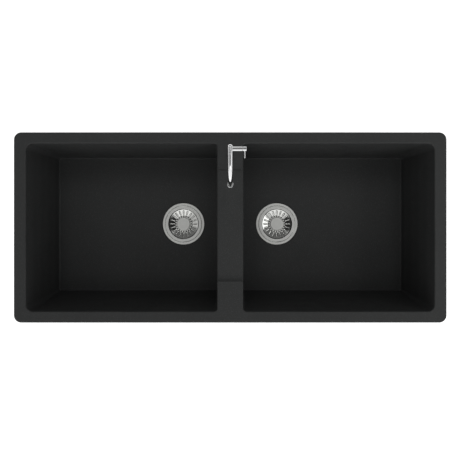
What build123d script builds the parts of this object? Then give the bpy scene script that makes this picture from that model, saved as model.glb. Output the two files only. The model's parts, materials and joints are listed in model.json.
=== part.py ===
from build123d import *
import math
import os

# Double bowl composite sink with a slim tap and two basket strainers.
# Millimetres. X runs to the right along the sink, Y to the back where the tap stands, Z up.
# The origin is the centre of the worktop cut-out, on the worktop's surface:
# the underside of the rim lies at Z = 0.

# ---------------------------------------------------------------- sink sizes
SINK_LENGTH = 1000.0
SINK_WIDTH = 440.0
SINK_CORNER_RADIUS = 17.0
RIM_THICKNESS = 10.0
RIM_SIDE_WIDTH = 28.0
RIM_FRONT_WIDTH = 26.0
RIM_BACK_WIDTH = 26.0
RIM_EDGE_FILLET = 2.5
DIVIDER_WIDTH = 60.0

BOWL_DEPTH = 200.0
BOWL_OUTER_CORNER_RADIUS = 16.0
BOWL_DIVIDER_CORNER_RADIUS = 8.0
BOWL_FLOOR_CORNER_RADIUS = 6.0
BOWL_FLOOR_FILLET = 4.0
SHELL_CORNER_TIGHTENING = 5.0
BOWL_EDGE_FILLET = 2.5
SIDE_WALL_SLOPE = 3.4
DIVIDER_WALL_SLOPE = 3.4
BACK_WALL_SLOPE = 1.9
FRONT_WALL_SLOPE = 22.5
WALL_THICKNESS = 9.0
FLOOR_THICKNESS = 12.0
FLOOR_FALL = 3.0

TAP_BACK_DISTANCE = 55.5
SADDLE_DROP = 6.0
SADDLE_TAP_DISTANCE = 29.5
SADDLE_FRONT_DISTANCE = 69.0
SADDLE_RAMP = 16.0
BRIDGE_THICKNESS = 12.0
BRIDGE_OVERLAP = 10.0
BRIDGE_SINK = 1.0

LUG_X = 250.0
LUG_Y = 100.0
LUG_WIDTH = 24.0
LUG_HEIGHT = 24.0
LUG_TOP_DEPTH = 40.0
LUG_PROJECTION = 5.0
INSERT_RADIUS = 3.5
INSERT_THREAD_RADIUS = 2.1
INSERT_LENGTH = 10.0
PRESS_CLEARANCE = 0.02
SPOT_FACE_CLEARANCE = 2.0
SPOT_FACE_DEPTH = 1.0

# How far cutters stand past what they cut, and how far off an edge may lie and still be picked.
OVERCUT = 1.0
PICK_MARGIN = 1.0

# ---------------------------------------------------------------- strainer sizes
DRAIN_X = 128.0
DRAIN_Y = 11.0
CUP_RADIUS = 44.0
FLANGE_WIDTH = 13.0
FLANGE_THICKNESS = 2.0
FLANGE_EDGE_FILLET = 0.5
FLANGE_SEAL_THICKNESS = 1.0
FLANGE_SEAL_WIDTH = 9.0
FLANGE_SEAL_INSET = 1.0
RECESS_CLEARANCE = 1.8
CUP_WALL = 1.5
CUP_DEPTH = 46.0
CUP_SHOULDER_DEPTH = 39.0
CUP_HOLE_CLEARANCE = 1.0
BASKET_SEAT_DEPTH = 1.0
BASKET_SEAT_CLEARANCE = 0.8
NECK_WALL = 5.9
NECK_LENGTH = 26.0
HUB_RADIUS = 6.5
HUB_DEPTH = 3.5
HUB_HEIGHT = 6.0
HUB_ARM_WIDTH = 3.0

BASKET_RIM_WIDTH = 6.0
BASKET_RIM_RISE = 1.6
BASKET_RIM_FILLET = 1.2
BASKET_RIM_INNER_BEVEL = 2.2
BASKET_CONE_INSET = 4.2
BASKET_FLOOR_RADIUS = 23.0
BASKET_DEPTH = 5.6
BASKET_WALL = 1.8
FLUTE_COUNT = 20
FLUTE_RADIUS = 3.6
FLUTE_CUT = 0.9
FLUTE_OUTER_INSET = 4.6
FLUTE_INNER_INSET = 3.8
SLOT_OVERREACH = 0.6
SLOT_LENGTH = 4.4
SLOT_WIDTH = 2.8
SLOT_CUT_HEIGHT = 4.2

KNOB_INSET = 5.0
KNOB_HEIGHT = 4.8
KNOB_WALL = 1.8
KNOB_TOP_RISE = 1.4
KNOB_EDGE_FILLET = 1.5
KNOB_BOSS_RADIUS = 7.0
KNOB_RING_RADIUS = 7.5
KNOB_RING_WIDTH = 0.8
KNOB_RING_CUT = 0.3
STEM_RADIUS = 4.0
STEM_SHOULDER_RADIUS = 6.0
STEM_RUNNING_CLEARANCE = 0.06
STEM_TIP_LENGTH = 5.0
STEM_TIP_CHAMFER = 1.0
STOPPER_LAP = 5.0
STOPPER_THICKNESS = 4.0
STOPPER_REST_GAP = 0.3
STOPPER_SEAT_WIDTH = 2.0
CLIP_RADIUS = 7.0
CLIP_THICKNESS = 1.2
CLIP_GROOVE_CUT = 0.8
CLIP_OPENING = 4.5

GASKET_WIDTH = 12.0
GASKET_THICKNESS = 3.0
FRICTION_RING_THICKNESS = 1.0
THREAD_CLEARANCE = 0.05
LOCK_NUT_WIDTH = 7.0
LOCK_NUT_HEIGHT = 12.0
LOCK_NUT_LUGS = 6
LOCK_NUT_LUG_WIDTH = 12.0
LOCK_NUT_LUG_DEPTH = 5.0

TAILPIECE_RADIUS = 20.0
TAILPIECE_WALL = 2.0
TAILPIECE_LENGTH = 60.0
TAILPIECE_FLANGE_WIDTH = 3.6
TAILPIECE_FLANGE_THICKNESS = 2.5
TAILPIECE_COLLAR_WIDTH = 0.8
TAILPIECE_COLLAR_REACH = 1.0
TAILPIECE_WASHER_THICKNESS = 2.5
COUPLING_NUT_WALL = 5.1
COUPLING_NUT_GRIP = 13.0
COUPLING_NUT_LIP = 3.0
COUPLING_NUT_RIBS = 12
COUPLING_NUT_RIB_RADIUS = 1.6
COUPLING_NUT_CLEARANCE = 0.3

# ---------------------------------------------------------------- tap sizes
TAP_HOLE_CLEARANCE = 0.6
TAP_BASE_SEAL_INSET = 0.2
TAP_BASE_SEAL_THICKNESS = 1.0
TAP_BASE_RADIUS = 7.0
TAP_BASE_HEIGHT = 4.0
TAP_BASE_FILLET = 1.2
COLUMN_RADIUS = 5.2
COLUMN_BORE_RADIUS = 2.2
COLUMN_HEIGHT = 106.0
SPOUT_AXIS_HEIGHT = 120.0
SPOUT_RADIUS = 5.0
SPOUT_WALL = 1.5
SPOUT_RUN = 28.0
SPOUT_BEND_RADIUS = 45.0
SPOUT_END_LENGTH = 4.0
SPOUT_COLLAR_GAP = 0.3
SPIGOT_RADIUS = 3.6
SPIGOT_WALL = 1.6
SPIGOT_LENGTH = 9.0
SPIGOT_END_GAP = 0.5
SPIGOT_RUNNING_CLEARANCE = 0.05
O_RING_SECTION_RADIUS = 0.5
O_RING_CLEARANCE = 0.05
O_RING_GROOVE_WIDTH = 1.3
SPOUT_O_RING_DEPTHS = (1.6, 7.6)
SPOUT_SCREW_DEPTH = 4.6
SPOUT_SCREW_RADIUS = 1.0
SPOUT_SCREW_GROOVE_CUT = 0.7
SPOUT_SCREW_GAP = 0.3
SCREW_RECESS = 0.2
SCREW_SOCKET_RADIUS = 0.5
SCREW_SOCKET_DEPTH = 0.8

NOZZLE_RADIUS = 6.75
NOZZLE_LENGTH = 10.0
NOZZLE_LIP_WIDTH = 0.85
NOZZLE_LIP_THICKNESS = 0.8
NOZZLE_EDGE_FILLET = 0.5
NOZZLE_WASHER_THICKNESS = 1.0
NOZZLE_WASHER_WIDTH = 1.4
AERATOR_CLEARANCE = 0.1
AERATOR_HOLE_RADIUS = 0.5
AERATOR_HOLE_RING_RADIUS = 2.8
AERATOR_HOLES = 8

VALVE_AXIS_HEIGHT = 93.0
VALVE_HOUSING_RADIUS = 4.95
VALVE_HOUSING_END = 25.2
VALVE_BORE_RADIUS = 3.8
VALVE_BORE_START = 8.0
VALVE_PORT_RADIUS = 1.1
VALVE_PORT_OFFSET = 2.4
CARTRIDGE_CLEARANCE = 0.05
CARTRIDGE_NUT_THICKNESS = 2.0
CARTRIDGE_NUT_GAP = 0.4
SPINDLE_RADIUS = 2.2
SPINDLE_RUNNING_CLEARANCE = 0.06
SPINDLE_DEPTH = 9.0
SPINDLE_GRIP = 6.0
HUB_GAP = 0.3
LEVER_HUB_RADIUS = 4.95
LEVER_HUB_LENGTH = 8.8
LEVER_HUB_FILLET = 0.6
LEVER_PIN_RADIUS = 1.6
LEVER_PIN_INSET = 3.7
LEVER_PIN_PROJECTION = 14.3
LEVER_PIN_SEAT = 2.2
HUB_SCREW_RADIUS = 0.9
HUB_SCREW_INSET = 2.6

SHANK_RADIUS = 4.9
SHANK_STUB_RADIUS = 3.5
SHANK_STUB_LENGTH = 6.0
SHANK_LENGTH = 55.0
INLET_RADIUS = 4.0
INLET_LENGTH = 18.0
SHANK_WASHER_RADIUS = 14.0
SHANK_RUBBER_THICKNESS = 2.5
SHANK_STEEL_THICKNESS = 1.5
SHANK_NUT_ACROSS_FLATS = 17.0
SHANK_NUT_HEIGHT = 6.0

# ---------------------------------------------------------------- derived levels
RIM_TOP = RIM_THICKNESS
BOWL_WIDTH = (SINK_LENGTH - DIVIDER_WIDTH) / 2 - RIM_SIDE_WIDTH
BOWL_OUTER_X = SINK_LENGTH / 2 - RIM_SIDE_WIDTH
BOWL_INNER_X = DIVIDER_WIDTH / 2
BOWL_FRONT_Y = -SINK_WIDTH / 2 + RIM_FRONT_WIDTH
BOWL_BACK_Y = SINK_WIDTH / 2 - RIM_BACK_WIDTH
FLOOR_HIGH = RIM_TOP - BOWL_DEPTH
FLOOR_LOW = FLOOR_HIGH - FLOOR_FALL
FLOOR_RUN = BOWL_WIDTH - SIDE_WALL_SLOPE - DIVIDER_WALL_SLOPE
FLOOR_GRADE = FLOOR_FALL / FLOOR_RUN
FLOOR_INNER_X = BOWL_INNER_X + DIVIDER_WALL_SLOPE
DRAIN_LEVEL = FLOOR_LOW + FLOOR_GRADE * (DRAIN_X - FLOOR_INNER_X)
SHELL_BOTTOM = DRAIN_LEVEL - FLOOR_THICKNESS
WALL_DROP = RIM_TOP - FLOOR_LOW
TAP_Y = SINK_WIDTH / 2 - TAP_BACK_DISTANCE
SADDLE_BACK = TAP_Y - SADDLE_TAP_DISTANCE
SADDLE_FRONT = BOWL_FRONT_Y + SADDLE_FRONT_DISTANCE
LUG_LEVEL = -LUG_TOP_DEPTH - LUG_HEIGHT / 2
SHELL_FOOT_CORNER_RADIUS = BOWL_OUTER_CORNER_RADIUS + WALL_THICKNESS - SHELL_CORNER_TIGHTENING

FLANGE_RADIUS = CUP_RADIUS + FLANGE_WIDTH
BASKET_RIM_RADIUS = CUP_RADIUS + BASKET_RIM_WIDTH
BASKET_CONE_RADIUS = CUP_RADIUS - BASKET_CONE_INSET
FLUTE_OUTER_END = BASKET_CONE_RADIUS - FLUTE_OUTER_INSET
FLUTE_INNER_END = BASKET_FLOOR_RADIUS + FLUTE_INNER_INSET
SLOT_OUTER_END = BASKET_FLOOR_RADIUS + SLOT_OVERREACH
KNOB_RADIUS = BASKET_FLOOR_RADIUS - KNOB_INSET
GASKET_RADIUS = CUP_RADIUS + GASKET_WIDTH
LOCK_NUT_RADIUS = CUP_RADIUS + LOCK_NUT_WIDTH
TAILPIECE_FLANGE_RADIUS = TAILPIECE_RADIUS + TAILPIECE_FLANGE_WIDTH
TAILPIECE_COLLAR_RADIUS = TAILPIECE_RADIUS + TAILPIECE_COLLAR_WIDTH
NECK_RADIUS = TAILPIECE_FLANGE_RADIUS + COUPLING_NUT_CLEARANCE
COUPLING_NUT_RADIUS = NECK_RADIUS + COUPLING_NUT_WALL
RECESS_RADIUS = FLANGE_RADIUS + RECESS_CLEARANCE
RECESS_DEPTH = FLANGE_THICKNESS + FLANGE_SEAL_THICKNESS
FLOOR_HOLE_RADIUS = CUP_RADIUS + CUP_HOLE_CLEARANCE
NECK_BORE_RADIUS = NECK_RADIUS - NECK_WALL
STOPPER_RADIUS = NECK_BORE_RADIUS + STOPPER_LAP
STEM_HOLE_RADIUS = STEM_RADIUS + THREAD_CLEARANCE
STOPPER_BOTTOM = STOPPER_REST_GAP - CUP_DEPTH
STOPPER_TOP = STOPPER_BOTTOM + STOPPER_THICKNESS
BASKET_UNDERSIDE = -BASKET_DEPTH - BASKET_WALL
HUB_TOP = -CUP_DEPTH - HUB_DEPTH
HUB_BOTTOM = HUB_TOP - HUB_HEIGHT
NECK_END = -CUP_DEPTH - NECK_LENGTH
GASKET_BOTTOM = -FLOOR_THICKNESS - GASKET_THICKNESS
FRICTION_RING_BOTTOM = GASKET_BOTTOM - FRICTION_RING_THICKNESS
TAILPIECE_TOP = NECK_END - TAILPIECE_WASHER_THICKNESS
COUPLING_NUT_LIP_TOP = TAILPIECE_TOP - TAILPIECE_FLANGE_THICKNESS
COUPLING_NUT_BOTTOM = COUPLING_NUT_LIP_TOP - COUPLING_NUT_LIP
COLLAR_BOTTOM = COUPLING_NUT_BOTTOM - TAILPIECE_COLLAR_REACH

TAP_HOLE_RADIUS = SHANK_RADIUS + TAP_HOLE_CLEARANCE
TAP_BASE_BOTTOM = RIM_TOP + TAP_BASE_SEAL_THICKNESS
COLUMN_FOOT = TAP_BASE_BOTTOM + TAP_BASE_HEIGHT
COLUMN_TOP = RIM_TOP + COLUMN_HEIGHT
SPOUT_AXIS = RIM_TOP + SPOUT_AXIS_HEIGHT
SPOUT_BORE_RADIUS = SPOUT_RADIUS - SPOUT_WALL
SPOUT_COLLAR = COLUMN_TOP + SPOUT_COLLAR_GAP
SPOUT_SOCKET_RADIUS = SPIGOT_RADIUS + SPIGOT_RUNNING_CLEARANCE
NOZZLE_Y = -SPOUT_RUN - SPOUT_BEND_RADIUS
NOZZLE_TOP = SPOUT_AXIS - SPOUT_BEND_RADIUS
SPOUT_END = NOZZLE_TOP - SPOUT_END_LENGTH
NOZZLE_BOTTOM = NOZZLE_TOP - NOZZLE_LENGTH
NOZZLE_BORE_RADIUS = SPOUT_RADIUS + THREAD_CLEARANCE
VALVE_AXIS = RIM_TOP + VALVE_AXIS_HEIGHT
CARTRIDGE_END = VALVE_HOUSING_END - CARTRIDGE_NUT_THICKNESS
LEVER_HUB_START = VALVE_HOUSING_END + HUB_GAP
SHANK_BOTTOM = COLUMN_FOOT - SHANK_LENGTH
STEEL_WASHER_TOP = SPOT_FACE_DEPTH - SHANK_RUBBER_THICKNESS
SHANK_NUT_TOP = STEEL_WASHER_TOP - SHANK_STEEL_THICKNESS
LEVER_HUB_END = LEVER_HUB_START + LEVER_HUB_LENGTH


def turned(*outline):
    """Turn a closed outline of (radius, height) points about the Z axis."""
    points = [(radius, 0, height) for radius, height in outline]
    return revolve(make_face(Polyline(*points, close=True)), Axis.Z, 360)


def ring(outer_radius, inner_radius, bottom, top):
    """Make a flat-ended tube between two heights."""
    return turned((inner_radius, bottom), (outer_radius, bottom),
                  (outer_radius, top), (inner_radius, top))


def rod(radius, bottom, top):
    """Make an upright solid cylinder between two heights."""
    cylinder = Cylinder(radius, top - bottom, align=(Align.CENTER, Align.CENTER, Align.MIN))
    return Pos(0, 0, bottom) * cylinder


def block(low, high):
    """Make a box from its lowest corner to its highest corner."""
    size = [high[i] - low[i] for i in range(3)]
    return Pos(*low) * Box(*size, align=(Align.MIN, Align.MIN, Align.MIN))


def along_x(part):
    """Lay an upright part down, so that its height runs along +X."""
    return Rot(0, 90, 0) * part


def save(part, name):
    """Write one piece, checked to be sound."""
    part.label = name
    assert part.is_valid, name
    export_step(part, "parts/" + name + ".step")


# ---------------------------------------------------------------- sink body
def bowl_outline(height, outer_x, inner_x, front_y, back_y, outer_radius, inner_radius):
    """Draw the right bowl's rounded outline at one height."""
    corners = [(inner_x, front_y, height), (outer_x, front_y, height),
               (outer_x, back_y, height), (inner_x, back_y, height)]
    radii = [inner_radius, outer_radius, outer_radius, inner_radius]
    return make_face(FilletPolyline(*corners, radius=radii, close=True))


def bowl_solid(margin, bottom, foot_radius):
    """Make the right bowl's tapered block, grown by a margin, with its own corner radius at the foot."""
    drop = (RIM_TOP - bottom) / WALL_DROP
    top = bowl_outline(RIM_TOP, BOWL_OUTER_X + margin, BOWL_INNER_X - margin,
                       BOWL_FRONT_Y - margin, BOWL_BACK_Y + margin,
                       BOWL_OUTER_CORNER_RADIUS + margin, BOWL_DIVIDER_CORNER_RADIUS + margin)
    base = bowl_outline(bottom, BOWL_OUTER_X + margin - SIDE_WALL_SLOPE * drop,
                        BOWL_INNER_X - margin + DIVIDER_WALL_SLOPE * drop,
                        BOWL_FRONT_Y - margin + FRONT_WALL_SLOPE * drop,
                        BOWL_BACK_Y + margin - BACK_WALL_SLOPE * drop,
                        foot_radius, foot_radius)
    return loft([top, base], ruled=True)


def bowl_cavity():
    """Make the right bowl's inside, with a floor that falls towards the divider."""
    floor_plane = Plane(origin=(FLOOR_INNER_X, 0, FLOOR_LOW), x_dir=(1, 0, FLOOR_GRADE),
                        z_dir=(-FLOOR_GRADE, 0, 1))
    cavity = bowl_solid(0, FLOOR_LOW - OVERCUT, BOWL_FLOOR_CORNER_RADIUS)
    cavity = split(cavity, bisect_by=floor_plane, keep=Keep.TOP)
    return fillet(cavity.faces().sort_by(Axis.Z)[0].edges(), BOWL_FLOOR_FILLET)


def drain_cut():
    """Make the stepped hole through the right bowl's floor."""
    recess = rod(RECESS_RADIUS, DRAIN_LEVEL - RECESS_DEPTH, DRAIN_LEVEL + FLOOR_FALL)
    hole = rod(FLOOR_HOLE_RADIUS, SHELL_BOTTOM - OVERCUT, DRAIN_LEVEL)
    return Pos(DRAIN_X, DRAIN_Y, 0) * (recess + hole)


def saddle_cut():
    """Make the shallow dip across the divider: it curves up in front and ends in a square step behind."""
    low = RIM_TOP - SADDLE_DROP
    ramp_radius = (SADDLE_RAMP ** 2 + SADDLE_DROP ** 2) / (2 * SADDLE_DROP)
    half_angle = math.asin(SADDLE_RAMP / ramp_radius) / 2
    mid_run = ramp_radius * math.sin(half_angle)
    mid_rise = ramp_radius * (1 - math.cos(half_angle))
    foot = SADDLE_FRONT + SADDLE_RAMP
    ramp = ThreePointArc((0, SADDLE_FRONT, RIM_TOP), (0, foot - mid_run, low + mid_rise), (0, foot, low))
    rest = Polyline((0, foot, low), (0, SADDLE_BACK, low), (0, SADDLE_BACK, RIM_TOP + OVERCUT),
                    (0, SADDLE_FRONT, RIM_TOP + OVERCUT), (0, SADDLE_FRONT, RIM_TOP))
    profile = make_face(ramp + rest)
    return extrude(profile, amount=DIVIDER_WIDTH / 2 + BOWL_EDGE_FILLET, dir=(1, 0, 0), both=True)


def lug_places():
    """List where the fixing lugs stand: middle of each lug on the bowl's outer face, outward direction."""
    drop = (RIM_TOP - LUG_LEVEL) / WALL_DROP
    front = BOWL_FRONT_Y - WALL_THICKNESS + FRONT_WALL_SLOPE * drop
    back = BOWL_BACK_Y + WALL_THICKNESS - BACK_WALL_SLOPE * drop
    side = BOWL_OUTER_X + WALL_THICKNESS - SIDE_WALL_SLOPE * drop
    places = []
    for x in (-LUG_X, LUG_X):
        places.append((x, front, 0, -1))
        places.append((x, back, 0, 1))
    for y in (-LUG_Y, LUG_Y):
        places.append((-side, y, -1, 0))
        places.append((side, y, 1, 0))
    return places


def lug(place):
    """Make one fixing lug on the bowl's outer face, low enough to clear the worktop."""
    x, y, out_x, out_y = place
    depth = LUG_PROJECTION + WALL_THICKNESS / 2
    shift = LUG_PROJECTION - depth / 2
    size_x = depth if out_x else LUG_WIDTH
    size_y = depth if out_y else LUG_WIDTH
    return Pos(x + out_x * shift, y + out_y * shift, LUG_LEVEL) * Box(size_x, size_y, LUG_HEIGHT)


def in_lug(place, part):
    """Turn an upright part outwards and set its Z = 0 on the lug's outer face."""
    x, y, out_x, out_y = place
    mouth = (x + out_x * LUG_PROJECTION, y + out_y * LUG_PROJECTION, LUG_LEVEL)
    return Plane(origin=mouth, z_dir=(out_x, out_y, 0)) * part


def make_sink_body():
    """Make the moulded body: rim, two bowls, the dipped divider, drain seats and tap hole."""
    rim_outline = RectangleRounded(SINK_LENGTH, SINK_WIDTH, SINK_CORNER_RADIUS)
    rim = extrude(rim_outline, amount=RIM_THICKNESS)
    rim = fillet(rim.faces().sort_by(Axis.Z)[-1].edges(), RIM_EDGE_FILLET)
    shell = bowl_solid(WALL_THICKNESS, SHELL_BOTTOM, SHELL_FOOT_CORNER_RADIUS)
    bridge_x = BOWL_INNER_X - BRIDGE_SINK
    bridge_bottom = RIM_TOP - SADDLE_DROP - BRIDGE_THICKNESS
    bridge = block((-bridge_x, SADDLE_FRONT - BRIDGE_OVERLAP, bridge_bottom),
                   (bridge_x, SADDLE_BACK + BRIDGE_OVERLAP, RIM_TOP - BRIDGE_SINK))
    body = rim + shell + mirror(shell, about=Plane.YZ) + bridge
    body += [lug(place) for place in lug_places()]
    cavity = bowl_cavity()
    drain = drain_cut()
    body -= [cavity, mirror(cavity, about=Plane.YZ), drain, mirror(drain, about=Plane.YZ)]
    body -= saddle_cut()
    body = fillet(bowl_edges(body), BOWL_EDGE_FILLET)
    tap_hole = rod(TAP_HOLE_RADIUS, 0, RIM_TOP + OVERCUT)
    tap_hole += rod(SHANK_WASHER_RADIUS + SPOT_FACE_CLEARANCE, -OVERCUT, SPOT_FACE_DEPTH)
    body -= Pos(0, TAP_Y, 0) * tap_hole
    insert_hole = rod(INSERT_RADIUS, -INSERT_LENGTH, OVERCUT)
    return body - [in_lug(place, insert_hole) for place in lug_places()]


def bowl_edges(body):
    """Pick the edges that run round the bowls' mouths, over the dip in the divider too."""
    lowest = RIM_TOP - SADDLE_DROP - PICK_MARGIN
    picked = []
    for edge in body.edges():
        centre = edge.center()
        beside_bowl = BOWL_INNER_X - PICK_MARGIN < abs(centre.X) < BOWL_OUTER_X + PICK_MARGIN
        if beside_bowl and BOWL_FRONT_Y - PICK_MARGIN < centre.Y < BOWL_BACK_Y + PICK_MARGIN:
            if edge.bounding_box().min.Z > lowest:
                picked.append(edge)
    return picked


def make_inserts():
    """Make the threaded brass inserts that the fixing clips screw into."""
    insert = ring(INSERT_RADIUS - PRESS_CLEARANCE, INSERT_THREAD_RADIUS, -INSERT_LENGTH, 0)
    return Compound(children=[in_lug(place, insert) for place in lug_places()])


# ---------------------------------------------------------------- strainer, heights from the flange's top
def make_strainer_cup():
    """Make the steel cup: flange with a basket seat, wall, stopper seat, neck and stem guide."""
    seat_edge = BASKET_RIM_RADIUS + BASKET_SEAT_CLEARANCE
    bore = CUP_RADIUS - CUP_WALL
    stopper_seat = STOPPER_RADIUS + STOPPER_SEAT_WIDTH
    cup = turned((seat_edge, 0), (FLANGE_RADIUS, 0), (FLANGE_RADIUS, -FLANGE_THICKNESS),
                 (CUP_RADIUS, -FLANGE_THICKNESS), (CUP_RADIUS, -CUP_SHOULDER_DEPTH - CUP_WALL),
                 (stopper_seat, -CUP_DEPTH - CUP_WALL), (NECK_RADIUS, -CUP_DEPTH - CUP_WALL),
                 (NECK_RADIUS, NECK_END), (NECK_BORE_RADIUS, NECK_END), (NECK_BORE_RADIUS, -CUP_DEPTH),
                 (stopper_seat, -CUP_DEPTH), (bore, -CUP_SHOULDER_DEPTH), (bore, -BASKET_SEAT_DEPTH),
                 (seat_edge, -BASKET_SEAT_DEPTH))
    cup = fillet(cup.faces().sort_by(Axis.Z)[-1].edges(), FLANGE_EDGE_FILLET)
    arm_reach = NECK_BORE_RADIUS + NECK_WALL / 2
    cup += rod(HUB_RADIUS, HUB_BOTTOM, HUB_TOP)
    cup += block((-arm_reach, -HUB_ARM_WIDTH / 2, HUB_BOTTOM), (arm_reach, HUB_ARM_WIDTH / 2, HUB_TOP))
    cup += block((-HUB_ARM_WIDTH / 2, -arm_reach, HUB_BOTTOM), (HUB_ARM_WIDTH / 2, arm_reach, HUB_TOP))
    return cup - rod(STEM_RADIUS + STEM_RUNNING_CLEARANCE, HUB_BOTTOM - OVERCUT, HUB_TOP + OVERCUT)


def make_flange_seal():
    """Make the flat ring that beds the flange in its recess."""
    outer = FLANGE_RADIUS - FLANGE_SEAL_INSET
    return ring(outer, outer - FLANGE_SEAL_WIDTH, -RECESS_DEPTH, -FLANGE_THICKNESS)


def make_gasket():
    """Make the thick rubber ring below the bowl's floor."""
    return ring(GASKET_RADIUS, CUP_RADIUS + THREAD_CLEARANCE, GASKET_BOTTOM, -FLOOR_THICKNESS)


def make_friction_ring():
    """Make the thin ring that lets the lock nut turn without dragging the gasket."""
    return ring(GASKET_RADIUS, CUP_RADIUS + THREAD_CLEARANCE, FRICTION_RING_BOTTOM, GASKET_BOTTOM)


def make_lock_nut():
    """Make the lugged nut that pulls the cup down on to the bowl's floor."""
    bottom = FRICTION_RING_BOTTOM - LOCK_NUT_HEIGHT
    nut = rod(LOCK_NUT_RADIUS, bottom, FRICTION_RING_BOTTOM)
    reach = LOCK_NUT_RADIUS + LOCK_NUT_LUG_DEPTH
    lug_block = block((CUP_RADIUS, -LOCK_NUT_LUG_WIDTH / 2, bottom),
                      (reach, LOCK_NUT_LUG_WIDTH / 2, FRICTION_RING_BOTTOM))
    nut += [Rot(0, 0, 360 / LOCK_NUT_LUGS * k) * lug_block for k in range(LOCK_NUT_LUGS)]
    return nut - rod(CUP_RADIUS + THREAD_CLEARANCE, bottom - OVERCUT, FRICTION_RING_BOTTOM + OVERCUT)


def flute_cutter(lean):
    """Make the round-ended bar that presses one flute into the basket's cone, on the +X side."""
    slant = math.sqrt(1 + lean ** 2)
    lift = FLUTE_RADIUS - FLUTE_CUT
    ends = []
    for radius in (FLUTE_INNER_END, FLUTE_OUTER_END):
        depth = (BASKET_CONE_RADIUS - radius) / lean
        ends.append(Vector(radius - lift / slant, 0, lift * lean / slant - depth))
    bar_plane = Plane(origin=ends[0], z_dir=ends[1] - ends[0])
    bar = bar_plane * rod(FLUTE_RADIUS, 0, (ends[1] - ends[0]).length)
    return bar + Pos(ends[0]) * Sphere(FLUTE_RADIUS) + Pos(ends[1]) * Sphere(FLUTE_RADIUS)


def make_basket():
    """Make the fluted basket: raised rim, shallow cone with flutes, floor with small slots."""
    lean = (BASKET_CONE_RADIUS - BASKET_FLOOR_RADIUS) / BASKET_DEPTH
    skin = BASKET_WALL * math.sqrt(1 + lean ** 2)
    outer_floor = BASKET_FLOOR_RADIUS - BASKET_WALL * lean + skin
    shoulder = CUP_RADIUS - CUP_WALL - BASKET_SEAT_CLEARANCE
    shoulder_depth = (BASKET_CONE_RADIUS + skin - shoulder) / lean
    crest = BASKET_CONE_RADIUS + BASKET_RIM_INNER_BEVEL
    basket = turned((STEM_HOLE_RADIUS, -BASKET_DEPTH), (BASKET_FLOOR_RADIUS, -BASKET_DEPTH),
                    (BASKET_CONE_RADIUS, 0), (crest, BASKET_RIM_RISE), (BASKET_RIM_RADIUS, BASKET_RIM_RISE),
                    (BASKET_RIM_RADIUS, -BASKET_SEAT_DEPTH), (shoulder, -BASKET_SEAT_DEPTH),
                    (shoulder, -shoulder_depth), (outer_floor, BASKET_UNDERSIDE),
                    (STEM_HOLE_RADIUS, BASKET_UNDERSIDE))
    basket = fillet(basket.faces().sort_by(Axis.Z)[-1].edges(), BASKET_RIM_FILLET)
    flute = flute_cutter(lean)
    slot = extrude(SlotOverall(SLOT_LENGTH, SLOT_WIDTH), amount=SLOT_CUT_HEIGHT)
    slot = Pos(SLOT_OUTER_END - SLOT_LENGTH / 2, 0, BASKET_UNDERSIDE - OVERCUT) * slot
    step = 360 / FLUTE_COUNT
    return basket - [Rot(0, 0, step * k) * cutter for k in range(FLUTE_COUNT) for cutter in (flute, slot)]


def make_basket_knob():
    """Make the hollow disc that the basket is lifted by."""
    top = KNOB_TOP_RISE
    inside = top - KNOB_WALL
    knob = turned((0, top), (KNOB_RADIUS, top), (KNOB_RADIUS, top - KNOB_HEIGHT),
                  (KNOB_RADIUS - KNOB_WALL, top - KNOB_HEIGHT), (KNOB_RADIUS - KNOB_WALL, inside),
                  (KNOB_BOSS_RADIUS, inside), (KNOB_BOSS_RADIUS, -BASKET_DEPTH),
                  (STEM_HOLE_RADIUS, -BASKET_DEPTH), (STEM_HOLE_RADIUS, inside), (0, inside))
    knob = fillet(knob.faces().sort_by(Axis.Z)[-1].edges(), KNOB_EDGE_FILLET)
    ring_outside = KNOB_RING_RADIUS + KNOB_RING_WIDTH
    return knob - ring(ring_outside, KNOB_RING_RADIUS, top - KNOB_RING_CUT, top + OVERCUT)


def make_basket_stem():
    """Make the stem: thread in the knob, shoulder under the basket, clip groove, guided tip."""
    tip = HUB_BOTTOM - STEM_TIP_LENGTH
    groove = STEM_RADIUS - CLIP_GROOVE_CUT
    groove_bottom = STOPPER_BOTTOM - CLIP_THICKNESS
    return turned((0, tip), (STEM_RADIUS - STEM_TIP_CHAMFER, tip), (STEM_RADIUS, tip + STEM_TIP_CHAMFER),
                  (STEM_RADIUS, groove_bottom), (groove, groove_bottom), (groove, STOPPER_BOTTOM),
                  (STEM_RADIUS, STOPPER_BOTTOM), (STEM_RADIUS, STOPPER_TOP),
                  (STEM_SHOULDER_RADIUS, STOPPER_TOP), (STEM_SHOULDER_RADIUS, BASKET_UNDERSIDE),
                  (STEM_RADIUS, BASKET_UNDERSIDE), (STEM_RADIUS, KNOB_TOP_RISE - KNOB_WALL),
                  (0, KNOB_TOP_RISE - KNOB_WALL))


def make_stopper_seal():
    """Make the rubber disc that closes the cup's outlet."""
    return ring(STOPPER_RADIUS, STEM_HOLE_RADIUS, STOPPER_BOTTOM, STOPPER_TOP)


def make_stem_clip():
    """Make the open spring clip that holds the stopper on the stem."""
    clip = ring(CLIP_RADIUS, STEM_RADIUS - CLIP_GROOVE_CUT + THREAD_CLEARANCE,
                STOPPER_BOTTOM - CLIP_THICKNESS, STOPPER_BOTTOM)
    gap = block((0, -CLIP_OPENING / 2, STOPPER_BOTTOM - CLIP_THICKNESS - OVERCUT),
                (CLIP_RADIUS + OVERCUT, CLIP_OPENING / 2, STOPPER_BOTTOM + OVERCUT))
    return clip - gap


def make_tailpiece_washer():
    """Make the soft washer between the neck and the tailpiece."""
    return ring(TAILPIECE_FLANGE_RADIUS, NECK_BORE_RADIUS, TAILPIECE_TOP, NECK_END)


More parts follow.
